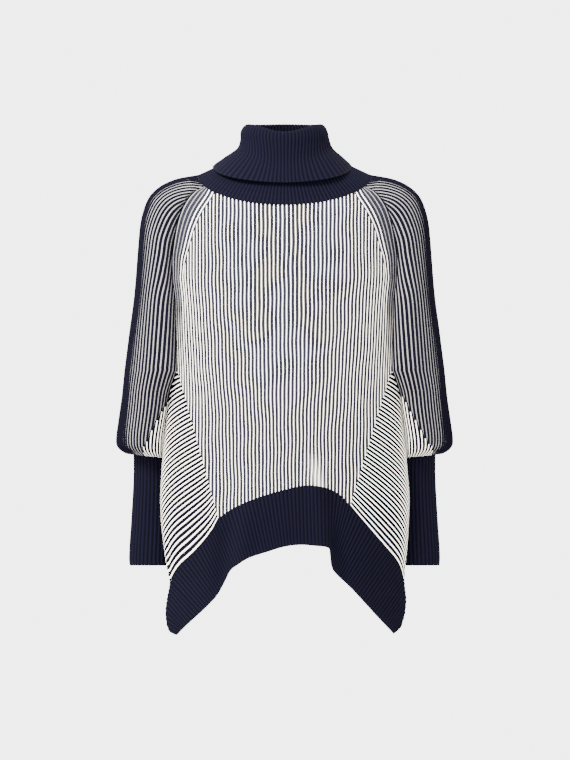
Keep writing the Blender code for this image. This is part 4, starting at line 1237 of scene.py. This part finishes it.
RAGLAN_SHADE_RIBS = 3.0                # ribs of the body beside the raglan seam whose cream is painted beige-grey as painted shade of the valley there
CREASE_HIGHLIGHT_SHARE = 0.18                    # how strongly the painted highlight on the crease above the hem pales the ribs


def striped_knit(name, crest, groove_colour, with_raglan_shade=False):
    """Cream ribs, crest wide as a share of the pitch, over a navy and grey ground."""
    nodes = Nodes(name)
    across = nodes.across()
    fleck = nodes.noise(1500.0, 3.0)
    cream = CREAM
    if with_raglan_shade:
        # Painted shade: the cream of the ribs beside the raglan seam is painted beige-grey for the
        # valley at the seam, fading out towards the underarm.
        beige = nodes.ramp(fleck, ((0.42, BEIGE_DARK), (0.58, BEIGE)))
        ribs = nodes.math("ABSOLUTE", nodes.attribute("rib"))
        beside = nodes.math("GREATER_THAN", ribs, RIBS_HALF - RAGLAN_SHADE_RIBS)
        height = nodes.math("MULTIPLY_ADD", nodes.attribute("along"), 1.0 / 90.0, 3.2)
        shown = nodes.math("MULTIPLY", beside, nodes.math("MINIMUM", height, 1.0))
        cream = nodes.mix(nodes.math("MAXIMUM", shown, 0.0), CREAM, beige)
    ground = nodes.ramp(fleck, ((0.42, NAVY), (0.60, groove_colour)))
    in_groove = nodes.ramp(across, ((crest + 0.18, BLACK), (crest + 0.28, WHITE)))
    ground = nodes.mix(in_groove, NAVY, ground)
    on_ground = nodes.ramp(across, ((crest, BLACK), (crest + 0.07, WHITE)))
    colour = nodes.mix(on_ground, cream, ground)
    # Painted highlight: the front's ribs are mixed towards cream along the crease above the hem
    # band.
    painted_highlight = nodes.math("MULTIPLY", nodes.attribute("turn"), CREASE_HIGHLIGHT_SHARE)
    colour = nodes.mix(painted_highlight, colour, CREAM)
    stitches = nodes.stitches(across, 3.6)
    return nodes.finish(nodes.shaded(colour, stitches, 0.16), nodes.fuzz(stitches))


OUTER_SHADE_RIBS = 9.0       # ribs on each side of a sleeve's outer edge painted nearly all navy, as painted shade where the sleeve turns away
OUTER_SHADE_FADE = 400.0     # how far up from the cuff this painted shade fades out


def sleeve_knit(name):
    """Navy ribs over a beige ground; below the turn line, cream ribs over navy."""
    nodes = Nodes(name)
    across = nodes.across()
    fleck = nodes.noise(1500.0, 3.0)
    ground = nodes.ramp(fleck, ((0.40, BEIGE_DARK), (0.58, BEIGE)))
    # Painted shade: near the outer edge the beige ground is painted navy with sparse grey flecks,
    # widest at the cuff.
    ribs = nodes.math("ABSOLUTE", nodes.attribute("rib"))
    low = nodes.math("MULTIPLY_ADD", nodes.attribute("along"), -1.0 / OUTER_SHADE_FADE, 1.0)
    wide = nodes.math("MULTIPLY", nodes.math("MAXIMUM", low, 0.0), OUTER_SHADE_RIBS)
    outer = nodes.math("SUBTRACT", wide, ribs)
    outer = nodes.math("MINIMUM", nodes.math("MAXIMUM", outer, 0.0), 1.0)
    narrowed = nodes.math("MULTIPLY_ADD", outer, -0.18, across)
    shown = nodes.ramp(narrowed, ((0.66, BLACK), (0.76, WHITE)))
    sparse = nodes.ramp(fleck, ((0.52, BLACK), (0.60, WHITE)))
    shown = nodes.mix(outer, shown, nodes.mix(1.0, shown, sparse, "MULTIPLY"))
    upper = nodes.mix(shown, NAVY, ground)
    lower = nodes.ramp(across, ((0.24, CREAM), (0.34, NAVY)))
    turn = nodes.math("MULTIPLY_ADD", nodes.noise(300.0), 3.0, nodes.attribute("turn"))
    colour = nodes.mix(nodes.math("GREATER_THAN", turn, 1.5), lower, upper)
    stitches = nodes.stitches(across, 3.6)
    return nodes.finish(nodes.shaded(colour, stitches, 0.2), nodes.fuzz(stitches))


def plain_knit(name):
    """Navy bands: rib crests painted a little lighter as painted light, and the grooves between
    them darker as painted shade.
    """
    nodes = Nodes(name)
    across = nodes.across()
    colour = nodes.ramp(across, ((0.35, NAVY_CREST_LIGHT), (0.85, NAVY_GROOVE_SHADE)))
    stitches = nodes.stitches(across, 3.0)
    return nodes.finish(nodes.shaded(colour, stitches, 0.2), nodes.fuzz(stitches))


# ---------------------------------------------------------------- stage, lights and camera
MID_Z = -0.3045                        # the photograph's middle, in metres
FRAME_HALF = 0.570                     # half its height
CAMERA_AWAY = 25.0
CAMERA_X = 0.0007
FLOOR_REACH = 4.0
FLOOR_Z = -1.6
FLOOR_COLOUR = (0.8, 0.8, 0.81)
BACKGROUND = (0.84, 0.84, 0.86)
BACKGROUND_STRENGTH = 5.7


def make_stage():
    mesh = bpy.data.meshes.new("floor")
    corners = [(across * FLOOR_REACH, along * FLOOR_REACH, FLOOR_Z)
               for across, along in ((-1, -1), (1, -1), (1, 1), (-1, 1))]
    mesh.from_pydata(corners, [], [(0, 1, 2, 3)])
    floor = add_object("floor", mesh)
    material = bpy.data.materials.new("floor_paint")
    material.use_nodes = True
    shader = material.node_tree.nodes["Principled BSDF"]
    shader.inputs["Base Color"].default_value = (*FLOOR_COLOUR, 1.0)
    shader.inputs["Roughness"].default_value = 0.9
    mesh.materials.append(material)

    world = bpy.data.worlds.new("studio")
    world.use_nodes = True
    sky = world.node_tree.nodes["Background"]
    sky.inputs["Color"].default_value = (*BACKGROUND, 1.0)
    sky.inputs["Strength"].default_value = BACKGROUND_STRENGTH
    bpy.context.scene.world = world


def make_light(name, place, size, power):
    data = bpy.data.lights.new(name, "AREA")
    data.size = size
    data.energy = power
    lamp = add_object(name, data)
    lamp.location = place
    aim = Vector((0.0, 0.0, MID_Z)) - Vector(place)
    lamp.rotation_mode = "QUATERNION"
    lamp.rotation_quaternion = aim.to_track_quat("-Z", "Y")


def make_camera():
    data = bpy.data.cameras.new("camera")
    data.sensor_width = 36.0
    data.lens = 18.0 * CAMERA_AWAY / FRAME_HALF
    data.clip_end = 100.0
    data.dof.use_dof = False
    camera = add_object("camera", data)
    camera.location = (CAMERA_X, -CAMERA_AWAY, MID_Z)
    camera.rotation_euler = (math.pi / 2.0, 0.0, 0.0)
    bpy.context.scene.camera = camera


def clear_start():
    for existing in list(bpy.data.objects):
        bpy.data.objects.remove(existing, do_unlink=True)


def main():
    clear_start()
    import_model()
    make_camera()
    make_stage()
    make_light("key", (-2.0, -2.3, 3.0), 1.2, 1500.0)
    make_light("fill", (2.2, -2.6, 0.4), 2.0, 60.0)

    front_knit = striped_knit("body_rib_knit", 0.21, MELANGE, with_raglan_shade=True)
    gore_knit = striped_knit("gore_rib_knit", 0.28, NAVY)
    sleeves_knit = sleeve_knit("sleeve_rib_knit")
    navy_knit = plain_knit("navy_rib_knit")

    made = [
        (make_panel("front_knit", -1, front_knit), "front", (0.43, 0.50), 0.19),
        (make_panel("back_knit", 1, front_knit), "back", (0.43, 0.53), 0.20),
        (make_collar("collar_knit", navy_knit), "collar", (0.60, 0.22), 0.125),
    ]
    for facing, panel in ((-1, "front"), (1, "back")):
        made.append((make_hem(f"hem_{panel}_knit", facing, navy_knit), f"hem_{panel}",
                     (0.54, 0.165), None))
        for side, hand in ((-1, "right"), (1, "left")):
            gore = f"{panel}_gore_{hand}"
            made.append((make_gore(gore + "_knit", side, facing, gore_knit), gore,
                         (0.12, 0.33), 0.028))
    for side, hand in ((-1, "right"), (1, "left")):
        made.append((make_sleeve(f"sleeve_{hand}_knit", side, sleeves_knit), f"sleeve_{hand}",
                     (0.30, 0.42), None))
        made.append((make_cuff(f"cuff_{hand}_knit", side, navy_knit), f"cuff_{hand}",
                     (0.19, 0.33), None))
    for piece, node, flat, area in made:
        declare(piece, node)


main()
